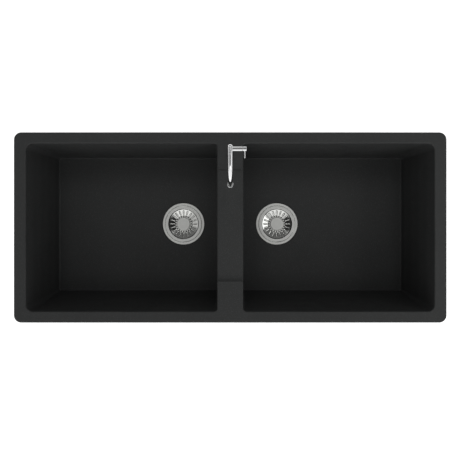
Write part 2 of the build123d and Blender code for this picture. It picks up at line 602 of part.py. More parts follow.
def make_tailpiece():
    """Make the outlet pipe with its flange and the collar that stiffens it."""
    bore = TAILPIECE_RADIUS - TAILPIECE_WALL
    end = TAILPIECE_TOP - TAILPIECE_LENGTH
    return turned((bore, end), (TAILPIECE_RADIUS, end), (TAILPIECE_RADIUS, COLLAR_BOTTOM),
                  (TAILPIECE_COLLAR_RADIUS, COLLAR_BOTTOM), (TAILPIECE_COLLAR_RADIUS, COUPLING_NUT_LIP_TOP),
                  (TAILPIECE_FLANGE_RADIUS, COUPLING_NUT_LIP_TOP), (TAILPIECE_FLANGE_RADIUS, TAILPIECE_TOP),
                  (bore, TAILPIECE_TOP))


def make_coupling_nut():
    """Make the ribbed nut that clamps the tailpiece to the neck."""
    top = NECK_END + COUPLING_NUT_GRIP
    nut = rod(COUPLING_NUT_RADIUS, COUPLING_NUT_BOTTOM, top)
    rib = Pos(COUPLING_NUT_RADIUS, 0, 0) * rod(COUPLING_NUT_RIB_RADIUS, COUPLING_NUT_BOTTOM, top)
    nut += [Rot(0, 0, 360 / COUPLING_NUT_RIBS * k) * rib for k in range(COUPLING_NUT_RIBS)]
    nut -= rod(NECK_RADIUS + THREAD_CLEARANCE, COUPLING_NUT_LIP_TOP, top + OVERCUT)
    pipe_hole = TAILPIECE_COLLAR_RADIUS + COUPLING_NUT_CLEARANCE
    return nut - rod(pipe_hole, COUPLING_NUT_BOTTOM - OVERCUT, top)


def save_strainer(side, x):
    """Write every piece of one strainer, set in its bowl."""
    pieces = {
        "strainer_cup": make_strainer_cup(), "flange_seal": make_flange_seal(),
        "floor_gasket": make_gasket(), "friction_ring": make_friction_ring(),
        "lock_nut": make_lock_nut(), "basket": make_basket(), "basket_knob": make_basket_knob(),
        "basket_stem": make_basket_stem(), "stopper_seal": make_stopper_seal(),
        "stem_clip": make_stem_clip(), "tailpiece_washer": make_tailpiece_washer(),
        "tailpiece": make_tailpiece(), "coupling_nut": make_coupling_nut(),
    }
    for name, piece in pieces.items():
        save(Pos(x, DRAIN_Y, DRAIN_LEVEL) * piece, side + "_" + name)


# ---------------------------------------------------------------- tap, upright on the tap hole's axis
def make_tap_base_seal():
    """Make the flat seal below the tap's base ring."""
    return ring(TAP_BASE_RADIUS - TAP_BASE_SEAL_INSET, SHANK_RADIUS + THREAD_CLEARANCE,
                RIM_TOP, TAP_BASE_BOTTOM)


def make_tap_base_ring():
    """Make the dark ring that the column stands on."""
    base = ring(TAP_BASE_RADIUS, SHANK_RADIUS + THREAD_CLEARANCE, TAP_BASE_BOTTOM, COLUMN_FOOT)
    top_edges = base.faces().sort_by(Axis.Z)[-1].edges()
    return fillet(top_edges.sort_by(SortBy.LENGTH)[-1], TAP_BASE_FILLET)


def make_tap_column():
    """Make the column with its side branch for the valve, its water ways and the spout's socket."""
    column = rod(COLUMN_RADIUS, COLUMN_FOOT, COLUMN_TOP)
    column += Pos(0, 0, VALVE_AXIS) * along_x(rod(VALVE_HOUSING_RADIUS, 0, VALVE_HOUSING_END))
    socket_bottom = COLUMN_TOP - SPIGOT_LENGTH - SPIGOT_END_GAP
    stub_hole = SHANK_STUB_RADIUS + THREAD_CLEARANCE
    water_way_gap = VALVE_PORT_OFFSET - VALVE_PORT_RADIUS
    valve_bore = rod(VALVE_BORE_RADIUS, VALVE_BORE_START, VALVE_HOUSING_END + OVERCUT)
    port = rod(VALVE_PORT_RADIUS, 0, VALVE_BORE_START + OVERCUT)
    screw_hole = rod(SPOUT_SCREW_RADIUS + PRESS_CLEARANCE, SPIGOT_RADIUS / 2, COLUMN_RADIUS + OVERCUT)
    column -= rod(SPOUT_SOCKET_RADIUS, socket_bottom, COLUMN_TOP + OVERCUT)
    column -= rod(stub_hole, COLUMN_FOOT - OVERCUT, COLUMN_FOOT + SHANK_STUB_LENGTH)
    column -= rod(COLUMN_BORE_RADIUS, COLUMN_FOOT, VALVE_AXIS - water_way_gap)
    column -= rod(COLUMN_BORE_RADIUS, VALVE_AXIS + water_way_gap, COLUMN_TOP)
    column -= Pos(0, 0, VALVE_AXIS) * along_x(valve_bore)
    for offset in (-VALVE_PORT_OFFSET, VALVE_PORT_OFFSET):
        column -= Pos(0, 0, VALVE_AXIS + offset) * along_x(port)
    return column - Pos(0, 0, COLUMN_TOP - SPOUT_SCREW_DEPTH) * Rot(-90, 0, 0) * screw_hole


def grub_screw(radius, tip, head):
    """Make a headless screw along +Z from its tip to its socketed end."""
    screw = rod(radius, tip, head)
    return screw - rod(SCREW_SOCKET_RADIUS, head - SCREW_SOCKET_DEPTH, head + OVERCUT)


def make_spout_screw():
    """Make the screw behind the column whose tip runs in the spigot's groove."""
    tip = SPIGOT_RADIUS - SPOUT_SCREW_GROOVE_CUT + SPOUT_SCREW_GAP
    screw = grub_screw(SPOUT_SCREW_RADIUS, tip, COLUMN_RADIUS - SCREW_RECESS)
    return Pos(0, 0, COLUMN_TOP - SPOUT_SCREW_DEPTH) * Rot(-90, 0, 0) * screw


def spout_tube(radius):
    """Make the solid that follows the spout: up, round the elbow, forward and down."""
    bend_start = Vector(0, -SPOUT_RUN, SPOUT_AXIS)
    bend_end = Vector(0, NOZZLE_Y, NOZZLE_TOP)
    path = Line((0, 0, SPOUT_AXIS), bend_start)
    path += TangentArc(bend_start, bend_end, tangent=(0, -1, 0))
    path += Line(bend_end, (0, NOZZLE_Y, SPOUT_END))
    section = Plane(origin=(0, 0, SPOUT_AXIS), z_dir=(0, -1, 0)) * Circle(radius)
    return sweep(section, path=path) + Pos(0, 0, SPOUT_AXIS) * Sphere(radius)


def make_spout():
    """Make the swivelling spout with its grooved spigot."""
    spout = spout_tube(SPOUT_RADIUS) + rod(SPOUT_RADIUS, SPOUT_COLLAR, SPOUT_AXIS)
    spout += rod(SPIGOT_RADIUS, COLUMN_TOP - SPIGOT_LENGTH, SPOUT_COLLAR)
    groove_radius = SPIGOT_RADIUS - O_RING_SECTION_RADIUS * 2 - O_RING_CLEARANCE
    for depth in SPOUT_O_RING_DEPTHS:
        level = COLUMN_TOP - depth
        spout -= ring(SPIGOT_RADIUS + OVERCUT, groove_radius,
                      level - O_RING_GROOVE_WIDTH / 2, level + O_RING_GROOVE_WIDTH / 2)
    level = COLUMN_TOP - SPOUT_SCREW_DEPTH
    half_width = SPOUT_SCREW_RADIUS + SPOUT_SCREW_GAP
    spout -= ring(SPIGOT_RADIUS + OVERCUT, SPIGOT_RADIUS - SPOUT_SCREW_GROOVE_CUT,
                  level - half_width, level + half_width)
    spout -= spout_tube(SPOUT_BORE_RADIUS)
    spout -= rod(SPOUT_BORE_RADIUS, SPOUT_COLLAR + SPOUT_WALL, SPOUT_AXIS)
    spigot_end = COLUMN_TOP - SPIGOT_LENGTH
    return spout - rod(SPIGOT_RADIUS - SPIGOT_WALL, spigot_end - OVERCUT, SPOUT_AXIS)


def make_spout_o_rings():
    """Make the two O-rings in the spigot's grooves."""
    centre_radius = SPOUT_SOCKET_RADIUS - O_RING_CLEARANCE - O_RING_SECTION_RADIUS
    o_ring = Torus(centre_radius, O_RING_SECTION_RADIUS)
    return Compound(children=[Pos(0, 0, COLUMN_TOP - depth) * o_ring for depth in SPOUT_O_RING_DEPTHS])


def make_nozzle():
    """Make the outlet shell that screws on to the spout's end."""
    shell = rod(NOZZLE_RADIUS, NOZZLE_BOTTOM, NOZZLE_TOP)
    flat_faces = shell.faces().filter_by(GeomType.PLANE)
    shell = fillet(flat_faces.edges(), NOZZLE_EDGE_FILLET)
    shell -= rod(NOZZLE_BORE_RADIUS, NOZZLE_BOTTOM + NOZZLE_LIP_THICKNESS, NOZZLE_TOP + OVERCUT)
    shell -= rod(NOZZLE_BORE_RADIUS - NOZZLE_LIP_WIDTH, NOZZLE_BOTTOM - OVERCUT, NOZZLE_TOP)
    return Pos(0, NOZZLE_Y, 0) * shell


def make_nozzle_washer():
    """Make the seal between the spout's end and the aerator."""
    outer = NOZZLE_BORE_RADIUS - AERATOR_CLEARANCE
    washer = ring(outer, outer - NOZZLE_WASHER_WIDTH, SPOUT_END - NOZZLE_WASHER_THICKNESS, SPOUT_END)
    return Pos(0, NOZZLE_Y, 0) * washer


def make_aerator():
    """Make the perforated insert that the water leaves through."""
    top = SPOUT_END - NOZZLE_WASHER_THICKNESS
    bottom = NOZZLE_BOTTOM + NOZZLE_LIP_THICKNESS
    insert = rod(NOZZLE_BORE_RADIUS - AERATOR_CLEARANCE, bottom, top)
    hole = rod(AERATOR_HOLE_RADIUS, bottom - OVERCUT, top + OVERCUT)
    insert -= hole
    spread = Pos(AERATOR_HOLE_RING_RADIUS, 0, 0) * hole
    insert -= [Rot(0, 0, 360 / AERATOR_HOLES * k) * spread for k in range(AERATOR_HOLES)]
    return Pos(0, NOZZLE_Y, 0) * insert


def make_valve_cartridge():
    """Make the ceramic-disc cartridge in the branch, with its spindle hole."""
    cartridge = rod(VALVE_BORE_RADIUS - CARTRIDGE_CLEARANCE, VALVE_BORE_START, CARTRIDGE_END)
    spindle_hole = SPINDLE_RADIUS + SPINDLE_RUNNING_CLEARANCE
    cartridge -= rod(spindle_hole, CARTRIDGE_END - SPINDLE_DEPTH, CARTRIDGE_END + OVERCUT)
    return Pos(0, 0, VALVE_AXIS) * along_x(cartridge)


def make_cartridge_nut():
    """Make the ring nut that keeps the cartridge in the branch."""
    nut = ring(VALVE_BORE_RADIUS - CARTRIDGE_CLEARANCE, SPINDLE_RADIUS + CARTRIDGE_NUT_GAP,
               CARTRIDGE_END, VALVE_HOUSING_END)
    return Pos(0, 0, VALVE_AXIS) * along_x(nut)


def make_valve_spindle():
    """Make the spindle that carries the lever's turn into the cartridge."""
    start = CARTRIDGE_END - SPINDLE_DEPTH + HUB_GAP
    return Pos(0, 0, VALVE_AXIS) * along_x(rod(SPINDLE_RADIUS, start, LEVER_HUB_START + SPINDLE_GRIP))


def make_lever_hub():
    """Make the turning end piece of the branch, bored for spindle, lever pin and screw."""
    hub = rod(LEVER_HUB_RADIUS, LEVER_HUB_START, LEVER_HUB_END)
    hub = fillet(hub.faces().filter_by(GeomType.PLANE).edges(), LEVER_HUB_FILLET)
    spindle_hole = SPINDLE_RADIUS + PRESS_CLEARANCE
    hub -= rod(spindle_hole, LEVER_HUB_START - OVERCUT, LEVER_HUB_START + SPINDLE_GRIP)
    hub = along_x(hub)
    outside = LEVER_HUB_RADIUS + OVERCUT
    pin_hole = rod(LEVER_PIN_RADIUS + PRESS_CLEARANCE, LEVER_HUB_RADIUS - LEVER_PIN_SEAT, outside)
    hub -= Pos(LEVER_HUB_END - LEVER_PIN_INSET, 0, 0) * Rot(90, 0, 0) * pin_hole
    screw_hole = rod(HUB_SCREW_RADIUS + PRESS_CLEARANCE, SPINDLE_RADIUS, outside)
    hub -= Pos(LEVER_HUB_START + HUB_SCREW_INSET, 0, 0) * Rot(180, 0, 0) * screw_hole
    return Pos(0, 0, VALVE_AXIS) * hub


def make_lever_pin():
    """Make the round-ended pin that the fingers push."""
    end = LEVER_HUB_RADIUS + LEVER_PIN_PROJECTION - LEVER_PIN_RADIUS
    pin = rod(LEVER_PIN_RADIUS, LEVER_HUB_RADIUS - LEVER_PIN_SEAT, end)
    pin += Pos(0, 0, end) * Sphere(LEVER_PIN_RADIUS)
    return Pos(LEVER_HUB_END - LEVER_PIN_INSET, 0, VALVE_AXIS) * Rot(90, 0, 0) * pin


def make_hub_screw():
    """Make the screw below the hub that grips the spindle."""
    screw = grub_screw(HUB_SCREW_RADIUS, SPINDLE_RADIUS + PRESS_CLEARANCE, LEVER_HUB_RADIUS - SCREW_RECESS)
    return Pos(LEVER_HUB_START + HUB_SCREW_INSET, 0, VALVE_AXIS) * Rot(180, 0, 0) * screw


def make_shank():
    """Make the threaded shank that passes through the sink; its plain lower end is the water inlet."""
    stub_top = COLUMN_FOOT + SHANK_STUB_LENGTH
    shank = rod(INLET_RADIUS, SHANK_BOTTOM, SHANK_BOTTOM + INLET_LENGTH)
    shank += rod(SHANK_RADIUS, SHANK_BOTTOM + INLET_LENGTH, COLUMN_FOOT)
    shank += rod(SHANK_STUB_RADIUS, COLUMN_FOOT, stub_top)
    return shank - rod(COLUMN_BORE_RADIUS, SHANK_BOTTOM - OVERCUT, stub_top + OVERCUT)


def make_shank_washer(top, thickness):
    """Make a flat washer round the shank."""
    return ring(SHANK_WASHER_RADIUS, SHANK_RADIUS + THREAD_CLEARANCE, top - thickness, top)


def make_shank_nut():
    """Make the hexagon nut that clamps the tap to the sink."""
    bottom = SHANK_NUT_TOP - SHANK_NUT_HEIGHT
    hexagon = RegularPolygon(SHANK_NUT_ACROSS_FLATS / 2, 6, major_radius=False)
    nut = Pos(0, 0, bottom) * extrude(hexagon, amount=SHANK_NUT_HEIGHT)
    return nut - rod(SHANK_RADIUS + THREAD_CLEARANCE, bottom - OVERCUT, SHANK_NUT_TOP + OVERCUT)


def save_tap():
    """Write every piece of the tap, set over its hole in the divider."""
    pieces = {
        "tap_base_seal": make_tap_base_seal(), "tap_base_ring": make_tap_base_ring(),
        "tap_column": make_tap_column(), "spout_screw": make_spout_screw(), "spout": make_spout(),
        "spout_o_rings": make_spout_o_rings(), "nozzle": make_nozzle(),
        "nozzle_washer": make_nozzle_washer(), "aerator": make_aerator(),
        "valve_cartridge": make_valve_cartridge(), "cartridge_nut": make_cartridge_nut(),
        "valve_spindle": make_valve_spindle(), "lever_hub": make_lever_hub(),
        "lever_pin": make_lever_pin(), "hub_screw": make_hub_screw(), "tap_shank": make_shank(),
        "shank_rubber_washer": make_shank_washer(SPOT_FACE_DEPTH, SHANK_RUBBER_THICKNESS),
        "shank_steel_washer": make_shank_washer(STEEL_WASHER_TOP, SHANK_STEEL_THICKNESS),
        "shank_nut": make_shank_nut(),
    }
    for name, piece in pieces.items():
        save(Pos(0, TAP_Y, 0) * piece, name)


if __name__ == "__main__":
    os.makedirs("parts", exist_ok=True)
    save(make_sink_body(), "sink_body")
    save(make_inserts(), "clip_inserts")
    save_strainer("left", -DRAIN_X)
    save_strainer("right", DRAIN_X)
    save_tap()
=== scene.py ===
# %% [markdown]
# # Double bowl kitchen sink
# This lesson dresses a dark composite sink that was drawn in CAD. The CAD gives every solid piece its
# size and place, in metres, with the origin in the middle of the worktop cut-out. Blender adds what
# the CAD leaves out: finishes, screw threads, the aerator's gauze, the light and the camera.
#
# The first step loads the imported pieces. Their meshes stay as they are, so the sink keeps its measured
# sizes. The box that they fill is kept.

# %% Load the imported sink
import json
import math

import bpy
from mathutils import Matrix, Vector


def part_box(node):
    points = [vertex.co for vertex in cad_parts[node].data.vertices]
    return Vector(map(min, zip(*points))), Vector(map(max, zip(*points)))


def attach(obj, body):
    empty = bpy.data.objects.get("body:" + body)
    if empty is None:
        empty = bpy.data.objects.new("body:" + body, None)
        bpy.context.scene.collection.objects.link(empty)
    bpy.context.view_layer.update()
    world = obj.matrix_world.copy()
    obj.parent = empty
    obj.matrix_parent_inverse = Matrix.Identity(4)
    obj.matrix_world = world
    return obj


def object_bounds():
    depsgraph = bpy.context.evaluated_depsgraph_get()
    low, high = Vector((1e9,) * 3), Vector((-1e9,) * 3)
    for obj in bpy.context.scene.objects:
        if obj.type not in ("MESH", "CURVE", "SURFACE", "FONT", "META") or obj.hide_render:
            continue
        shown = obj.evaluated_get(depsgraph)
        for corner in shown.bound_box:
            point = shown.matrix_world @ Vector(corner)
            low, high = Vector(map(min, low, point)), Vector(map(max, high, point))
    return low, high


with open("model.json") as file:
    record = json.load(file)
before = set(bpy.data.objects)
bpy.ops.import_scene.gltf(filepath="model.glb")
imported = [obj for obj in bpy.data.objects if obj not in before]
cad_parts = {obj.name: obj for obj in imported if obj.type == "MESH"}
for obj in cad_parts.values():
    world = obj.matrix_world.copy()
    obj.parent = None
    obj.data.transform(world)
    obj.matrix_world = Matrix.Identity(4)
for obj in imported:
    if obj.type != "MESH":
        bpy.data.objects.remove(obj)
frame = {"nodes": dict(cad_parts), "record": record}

cad_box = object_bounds()
print("CAD box", [[round(value, 4) for value in corner] for corner in cad_box])

# %% [markdown]
# ## Small helpers
# Materials and Geometry Nodes are both trees of nodes. They could be wired by hand in the node editor,
# but a script can be read, changed and run again, so one helper adds a node to either kind of tree.
# Its inputs take a plain value, or the output of another node, which is then linked. Written this way,
# a tree takes one line or two per node, and a reader can follow the wires from top to bottom.

# %% Helper that adds a node and wires its inputs
def put(tree, kind, inputs=None, **settings):
    """Add a node to a tree; inputs are plain values or outputs of other nodes."""
    node = tree.nodes.new(kind)
    for name, value in settings.items():
        setattr(node, name, value)
    for socket, value in (inputs or {}).items():
        if isinstance(value, bpy.types.NodeSocket):
            tree.links.new(value, node.inputs[socket])
        else:
            node.inputs[socket].default_value = value
    return node


print("put adds one node")

# %% Helpers for numbers and vectors
def maths(tree, operation, *values):
    """Add a Math node and return its number."""
    return put(tree, "ShaderNodeMath", dict(enumerate(values)), operation=operation).outputs[0]


def vector_maths(tree, operation, *values):
    """Add a Vector Math node and return its vector."""
    return put(tree, "ShaderNodeVectorMath", dict(enumerate(values)), operation=operation).outputs[0]


def length(tree, vector):
    """Return how long a vector is."""
    return put(tree, "ShaderNodeVectorMath", {0: vector}, operation="LENGTH").outputs["Value"]


def axes(tree, vector):
    """Split a vector into outputs named X, Y and Z."""
    return put(tree, "ShaderNodeSeparateXYZ", {"Vector": vector}).outputs


def spread(tree, value, low, high, to_low=0.0, to_high=1.0):
    """Map a value from one range to another, smoothly and without leaving it."""
    inputs = {"Value": value, "From Min": low, "From Max": high, "To Min": to_low, "To Max": to_high}
    return put(tree, "ShaderNodeMapRange", inputs, interpolation_type="SMOOTHSTEP").outputs["Result"]


print("number helpers ready")

# %% Helpers for patterns and colours
def noise(tree, place, scale, **shape):
    """Add a Noise texture and return its grey value."""
    return put(tree, "ShaderNodeTexNoise", {"Vector": place, "Scale": scale, **shape}).outputs["Fac"]


def mix_colours(tree, mask, first, second):
    """Mix two colours by a mask; each is red, green and blue or another node's output."""
    ends = {"A": first, "B": second}
    for label, colour in ends.items():
        if isinstance(colour, tuple):
            ends[label] = (*colour, 1.0)
    return put(tree, "ShaderNodeMix", {"Factor": mask, **ends}, data_type="RGBA").outputs["Result"]


print("pattern helpers ready")

# %% [markdown]
# ## Where the main pieces are
# Lamps, finishes and added pieces all need to know where some CAD pieces are. Those places could be
# typed in, but then they would be wrong as soon as the CAD changed, so they are read from the frame.

# %% Places of the drains and the tap
MM = 0.001
SIDES = {"left": -1.0, "right": 1.0}     # which way each side lies along X


def middle(name):
    """Middle of a piece's box."""
    low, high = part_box(name)
    return (Vector(low) + Vector(high)) / 2


def span(name):
    """Lowest and highest point of a piece."""
    low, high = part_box(name)
    return low[2], high[2]


DRAIN_X, DRAIN_Y = middle("right_strainer_cup").xy
FLANGE_TOP = span("right_strainer_cup")[1]
TAP_Y = middle("tap_shank").y
print("drains at", round(DRAIN_X, 4), round(DRAIN_Y, 4), round(FLANGE_TOP, 5), "tap at", round(TAP_Y, 4))

# %% [markdown]
# ## The camera
# The photograph looks straight down on the sink from a little over a metre, which shows the bowls'
# far walls as narrow strips. A higher camera with a longer lens would hide those strips, so this one
# has a normal lens at that height. It needs no turn, because an unturned Blender camera already
# looks down, with +Y at the top of the picture.

# %% Camera above the sink
CAMERA_PLACE = (-0.0005, -0.0058, 1.0726)
SENSOR_WIDTH = 36.0
LENS = 36.04


def show(thing):
    """Put an object in the scene."""
    bpy.context.scene.collection.objects.link(thing)
    return thing


camera = show(bpy.data.objects.new("overhead_camera", bpy.data.cameras.new("overhead_camera")))
camera.location = CAMERA_PLACE
camera.data.sensor_width = SENSOR_WIDTH
camera.data.lens = LENS
bpy.context.scene.camera = camera
bpy.context.scene.view_settings.view_transform = "Standard"
print("camera", CAMERA_PLACE, "lens", camera.data.lens)

# %% [markdown]
# ## The floor
# The sink stands on its waste pipes here, over a pale studio floor. More light could make the floor
# white, but it would wash out the sink as well. So the floor, one large disc, catches the object's
# shadow with a plain diffuse surface and adds a little glow that only the camera, mirrors and glass
# see. Seen from below the disc is clear, so that the underside can be looked at too.

# %% Shape of the floor
FLOOR_RADIUS = 60.0
FLOOR_HEIGHT = cad_box[0][2]
FLOOR_CORNERS = 96


def disc_mesh(name, radius, height, corners):
    """Make a flat round mesh of one face."""
    turns = [math.tau * corner / corners for corner in range(corners)]
    mesh = bpy.data.meshes.new(name)
    points = [(radius * math.cos(turn), radius * math.sin(turn), height) for turn in turns]
    mesh.from_pydata(points, [], [range(corners)])
    return mesh


floor = show(bpy.data.objects.new("studio_floor",
                                  disc_mesh("studio_floor", FLOOR_RADIUS, FLOOR_HEIGHT, FLOOR_CORNERS)))
print("floor at", round(FLOOR_HEIGHT, 4))

# %% Paper of the floor
FLOOR_GLOW = 0.78
PAPER_SHADE, PAPER_LIGHT = (0.87, 0.87, 0.87), (0.93, 0.93, 0.93)


def paint_floor():
    """White paper that glows for the eye only and is clear from below."""
    material = bpy.data.materials.new("studio_paper")
    material.use_nodes = True
    tree = material.node_tree
    tree.nodes.clear()
    place = put(tree, "ShaderNodeTexCoord").outputs["Object"]
    fibre = noise(tree, place, 60.0, Detail=4.0)
    paper = put(tree, "ShaderNodeBsdfDiffuse", {"Color": mix_colours(tree, fibre, PAPER_SHADE, PAPER_LIGHT)})
    rays = put(tree, "ShaderNodeLightPath").outputs
    seen = maths(tree, "MAXIMUM", rays["Is Camera Ray"], rays["Is Glossy Ray"])
    seen = maths(tree, "MAXIMUM", seen, rays["Is Transmission Ray"])
    glow = put(tree, "ShaderNodeEmission", {"Strength": maths(tree, "MULTIPLY", seen, FLOOR_GLOW)})
    lit = put(tree, "ShaderNodeAddShader", {0: paper.outputs[0], 1: glow.outputs[0]})
    below = put(tree, "ShaderNodeNewGeometry").outputs["Backfacing"]
    clear = put(tree, "ShaderNodeBsdfTransparent")
    mix = put(tree, "ShaderNodeMixShader", {0: below, 1: lit.outputs[0], 2: clear.outputs[0]})
    put(tree, "ShaderNodeOutputMaterial", {"Surface": mix.outputs[0]})
    return material


floor.data.materials.append(paint_floor())
print("floor painted with", floor.data.materials[0].name)

# %% [markdown]
# ## The world
# Chrome and steel look like what stands round them, so the world matters more here than for a matt
# object. In the photograph the tap is grey on top and bright where it bends to the front, and the
# strainers' cones, which mirror what stands 40 degrees off the vertical, are bright towards the front.
# An even grey world would leave them flat. So the world is painted by direction: a dim room, darker
# at the back, white in front, and a little paler along the horizon.

# %% World painted by direction
CEILING = 0.25
BACK_WALL = 0.14
FRONT_WALL = 0.78
HORIZON = 0.25
BACK_FADE = (0.1, 0.6)        # share of +Y in a direction, from the ceiling to the back wall
FRONT_FADE = (0.3, 0.62)      # share of -Y, from nothing to the white front
HORIZON_FADE = (0.02, 0.3)    # share of Z, up or down, from the horizon to nothing


def paint_world():
    """Dim room that is bright in front and a little paler along the horizon."""
    world = bpy.data.worlds.new("studio_room")
    world.use_nodes = True
    tree = world.node_tree
    tree.nodes.clear()
    way = axes(tree, put(tree, "ShaderNodeTexCoord").outputs["Generated"])
    room = spread(tree, way["Y"], *BACK_FADE, CEILING, BACK_WALL)
    front = spread(tree, maths(tree, "MULTIPLY", way["Y"], -1.0), *FRONT_FADE, 0.0, FRONT_WALL)
    horizon = spread(tree, maths(tree, "ABSOLUTE", way["Z"]), *HORIZON_FADE, HORIZON, 0.0)
    level = maths(tree, "ADD", maths(tree, "ADD", room, front), horizon)
    sky = put(tree, "ShaderNodeBackground", {"Color": (1, 1, 1, 1), "Strength": level})
    put(tree, "ShaderNodeOutputWorld", {"Surface": sky.outputs[0]})
    return world


bpy.context.scene.world = paint_world()
print("world", bpy.context.scene.world.name)

# %% [markdown]
# ## The lamps
# One lamp straight above would be simplest, but the tap is a mirror and would show it as a hard white
# line. So four small lamps hang overhead where the tap doesn't mirror them, and send light down to the
# floors of the deep bowls. A panel at the right gives the right cone its bright arc, and a dimmer one
# stands at the left.

# %% Soft lamps
LAMP_HEIGHT = 2.4
LAMP_REACH = 0.62             # of the overhead lamps, from the middle to each side
FRONT_LAMP_Y, FRONT_WATTS = -0.9, 2.0
BACK_LAMP_Y, BACK_WATTS = 1.0, 3.3
LAMP_SIZE = (0.7, 0.7)
SINK_MIDDLE = (0.0, 0.0, 0.0)
PANEL_AIM_Z = -0.15           # a little above the strainers


def soft_lamp(name, place, aim, size, watts):
    """Hang a soft rectangular lamp and turn it to a point."""
    lamp = bpy.data.lights.new(name, "AREA")
    lamp.shape = "RECTANGLE"
    lamp.size, lamp.size_y = size
    lamp.energy = watts
    holder = show(bpy.data.objects.new(name, lamp))
    holder.location = place
    holder.rotation_euler = (Vector(aim) - Vector(place)).to_track_quat("-Z", "Y").to_euler()
    print(name, [round(value, 3) for value in place], watts, "W")


for side, sign in SIDES.items():
    for end, lamp_y, watts in (("front", FRONT_LAMP_Y, FRONT_WATTS), ("back", BACK_LAMP_Y, BACK_WATTS)):
        place = (sign * LAMP_REACH, lamp_y, LAMP_HEIGHT)
        soft_lamp(f"{side}_{end}_lamp", place, SINK_MIDDLE, LAMP_SIZE, watts)
soft_lamp("right_panel", (1.1, -0.08, 0.7), (DRAIN_X, 0.0, PANEL_AIM_Z), (0.9, 0.55), 1.9)
soft_lamp("left_panel", (-1.15, -0.1, 0.9), (-DRAIN_X, 0.0, PANEL_AIM_Z), (1.0, 0.5), 0.5)

# %% [markdown]
# ## Effects that several finishes share
# Every metal here has been wiped, every moulded part has a fine skin, and every turned part has
# faint rings from the lathe. Each effect could be copied into each material, but one node group with
# named inputs keeps it in one place, and a finish only states its own values. The groups put out
# heights, masks and roughness; the shader itself stays in each material.

# %% Helpers that start and end a node group
def new_group(name, inputs, outputs):
    """Start a shader group; an input of None is a vector, any other a number."""
    group = bpy.data.node_groups.new(name, "ShaderNodeTree")
    for label, value in inputs.items():
        kind = "NodeSocketVector" if value is None else "NodeSocketFloat"
        socket = group.interface.new_socket(label, in_out="INPUT", socket_type=kind)
        if value is not None:
            socket.default_value = value
    for label in outputs:
        group.interface.new_socket(label, in_out="OUTPUT", socket_type="NodeSocketFloat")
    return group, group.nodes.new("NodeGroupInput").outputs


def end_group(group, outputs):
    """Wire the values that a group puts out."""
    put(group, "NodeGroupOutput", outputs)
    print("group", group.name)
    return group


# %% [markdown]
# ### Wiped marks
# A cloth leaves soft smudges in the gloss and hairline scratches. A cloudy noise makes the smudges,
# and the same kind of noise, stretched thirty times longer than it is wide, makes the hairs.

# %% Wiped marks: smudges in the gloss and hairline scratches
SMUDGE_RANGE = (0.3, 0.7)     # of the noise, from the glossiest to the dullest smudge
HAIR_TURN = (0.3, 0.5, 0.7)
HAIR_SCALE = (30.0, 900.0, 900.0)
HAIR_EDGE = (0.62, 0.72)      # of the noise, from plain metal to a hair


def make_wiped_marks():
    """Group of smudges, as roughness between Low and High, and hairs, as height."""
    group, given = new_group("wiped_marks", {"Vector": None, "Scale": 40.0, "Low": 0.1, "High": 0.2},
                             ("Roughness", "Height"))
    smudge = noise(group, given["Vector"], given["Scale"], Detail=4.0, Roughness=0.6, Distortion=0.6)
    gloss = put(group, "ShaderNodeMapRange", {
        "Value": smudge, "From Min": SMUDGE_RANGE[0], "From Max": SMUDGE_RANGE[1],
        "To Min": given["Low"], "To Max": given["High"]})
    stretched = put(group, "ShaderNodeMapping", {
        "Vector": given["Vector"], "Rotation": HAIR_TURN, "Scale": HAIR_SCALE}).outputs[0]
    hairs = spread(group, noise(group, stretched, 1.0, Detail=2.0), *HAIR_EDGE)
    return end_group(group, {"Roughness": gloss.outputs["Result"], "Height": hairs})


wiped_marks = make_wiped_marks()

# %% [markdown]
# ### Turned lines
# A lathe leaves rings round its axis. The distance from the Z axis drives a noise of one dimension,
# which gives rings on a flat face, and the height is added, so that a cylinder's wall gets them too.

# %% Turned lines: rings left by the lathe round the Z axis
SLOW_SHARE = 0.12             # broad bands per fine ring


def reach_from_axis(tree, vector):
    """Return how far a point is from the Z axis."""
    return length(tree, vector_maths(tree, "MULTIPLY", vector, (1.0, 1.0, 0.0)))


def line_noise(tree, along, detail):
    """Noise that changes along one number only."""
    inputs = {"W": along, "Scale": 1.0, "Detail": detail}
    return put(tree, "ShaderNodeTexNoise", inputs, noise_dimensions="1D").outputs["Fac"]


def make_turned_lines():
    """Group of fine rings, as height, and broad bands, as a mask."""
    group, given = new_group("turned_lines", {"Vector": None, "Lines": 1500.0}, ("Height", "Band"))
    across = maths(group, "ADD", reach_from_axis(group, given["Vector"]), axes(group, given["Vector"])["Z"])
    along = maths(group, "MULTIPLY", across, given["Lines"])
    slow = maths(group, "MULTIPLY", along, SLOW_SHARE)
    return end_group(group, {"Height": line_noise(group, along, 3.0), "Band": line_noise(group, slow, 2.0)})


turned_lines = make_turned_lines()

# %% [markdown]
# ### Moulded skin
# A mould is never quite smooth, and its fine grain is printed on plastic, rubber and cast stone.
# Voronoi cells give that grain its rounded grits, and a noise fifty times wider clouds the colour.

# %% Moulded skin: the fine grain of a mould on plastic, rubber and cast stone
CLOUD_SHARE = 0.02            # clouds per grit


def make_moulded_skin():
    """Group of grits, as height, and wide clouds, as a mask."""
    group, given = new_group("moulded_skin", {"Vector": None, "Scale": 2500.0}, ("Height", "Tone"))
    grits = put(group, "ShaderNodeTexVoronoi", {"Vector": given["Vector"], "Scale": given["Scale"]})
    tone = noise(group, given["Vector"], maths(group, "MULTIPLY", given["Scale"], CLOUD_SHARE), Detail=3.0)
    return end_group(group, {"Height": grits.outputs["Distance"], "Tone": tone})


moulded_skin = make_moulded_skin()

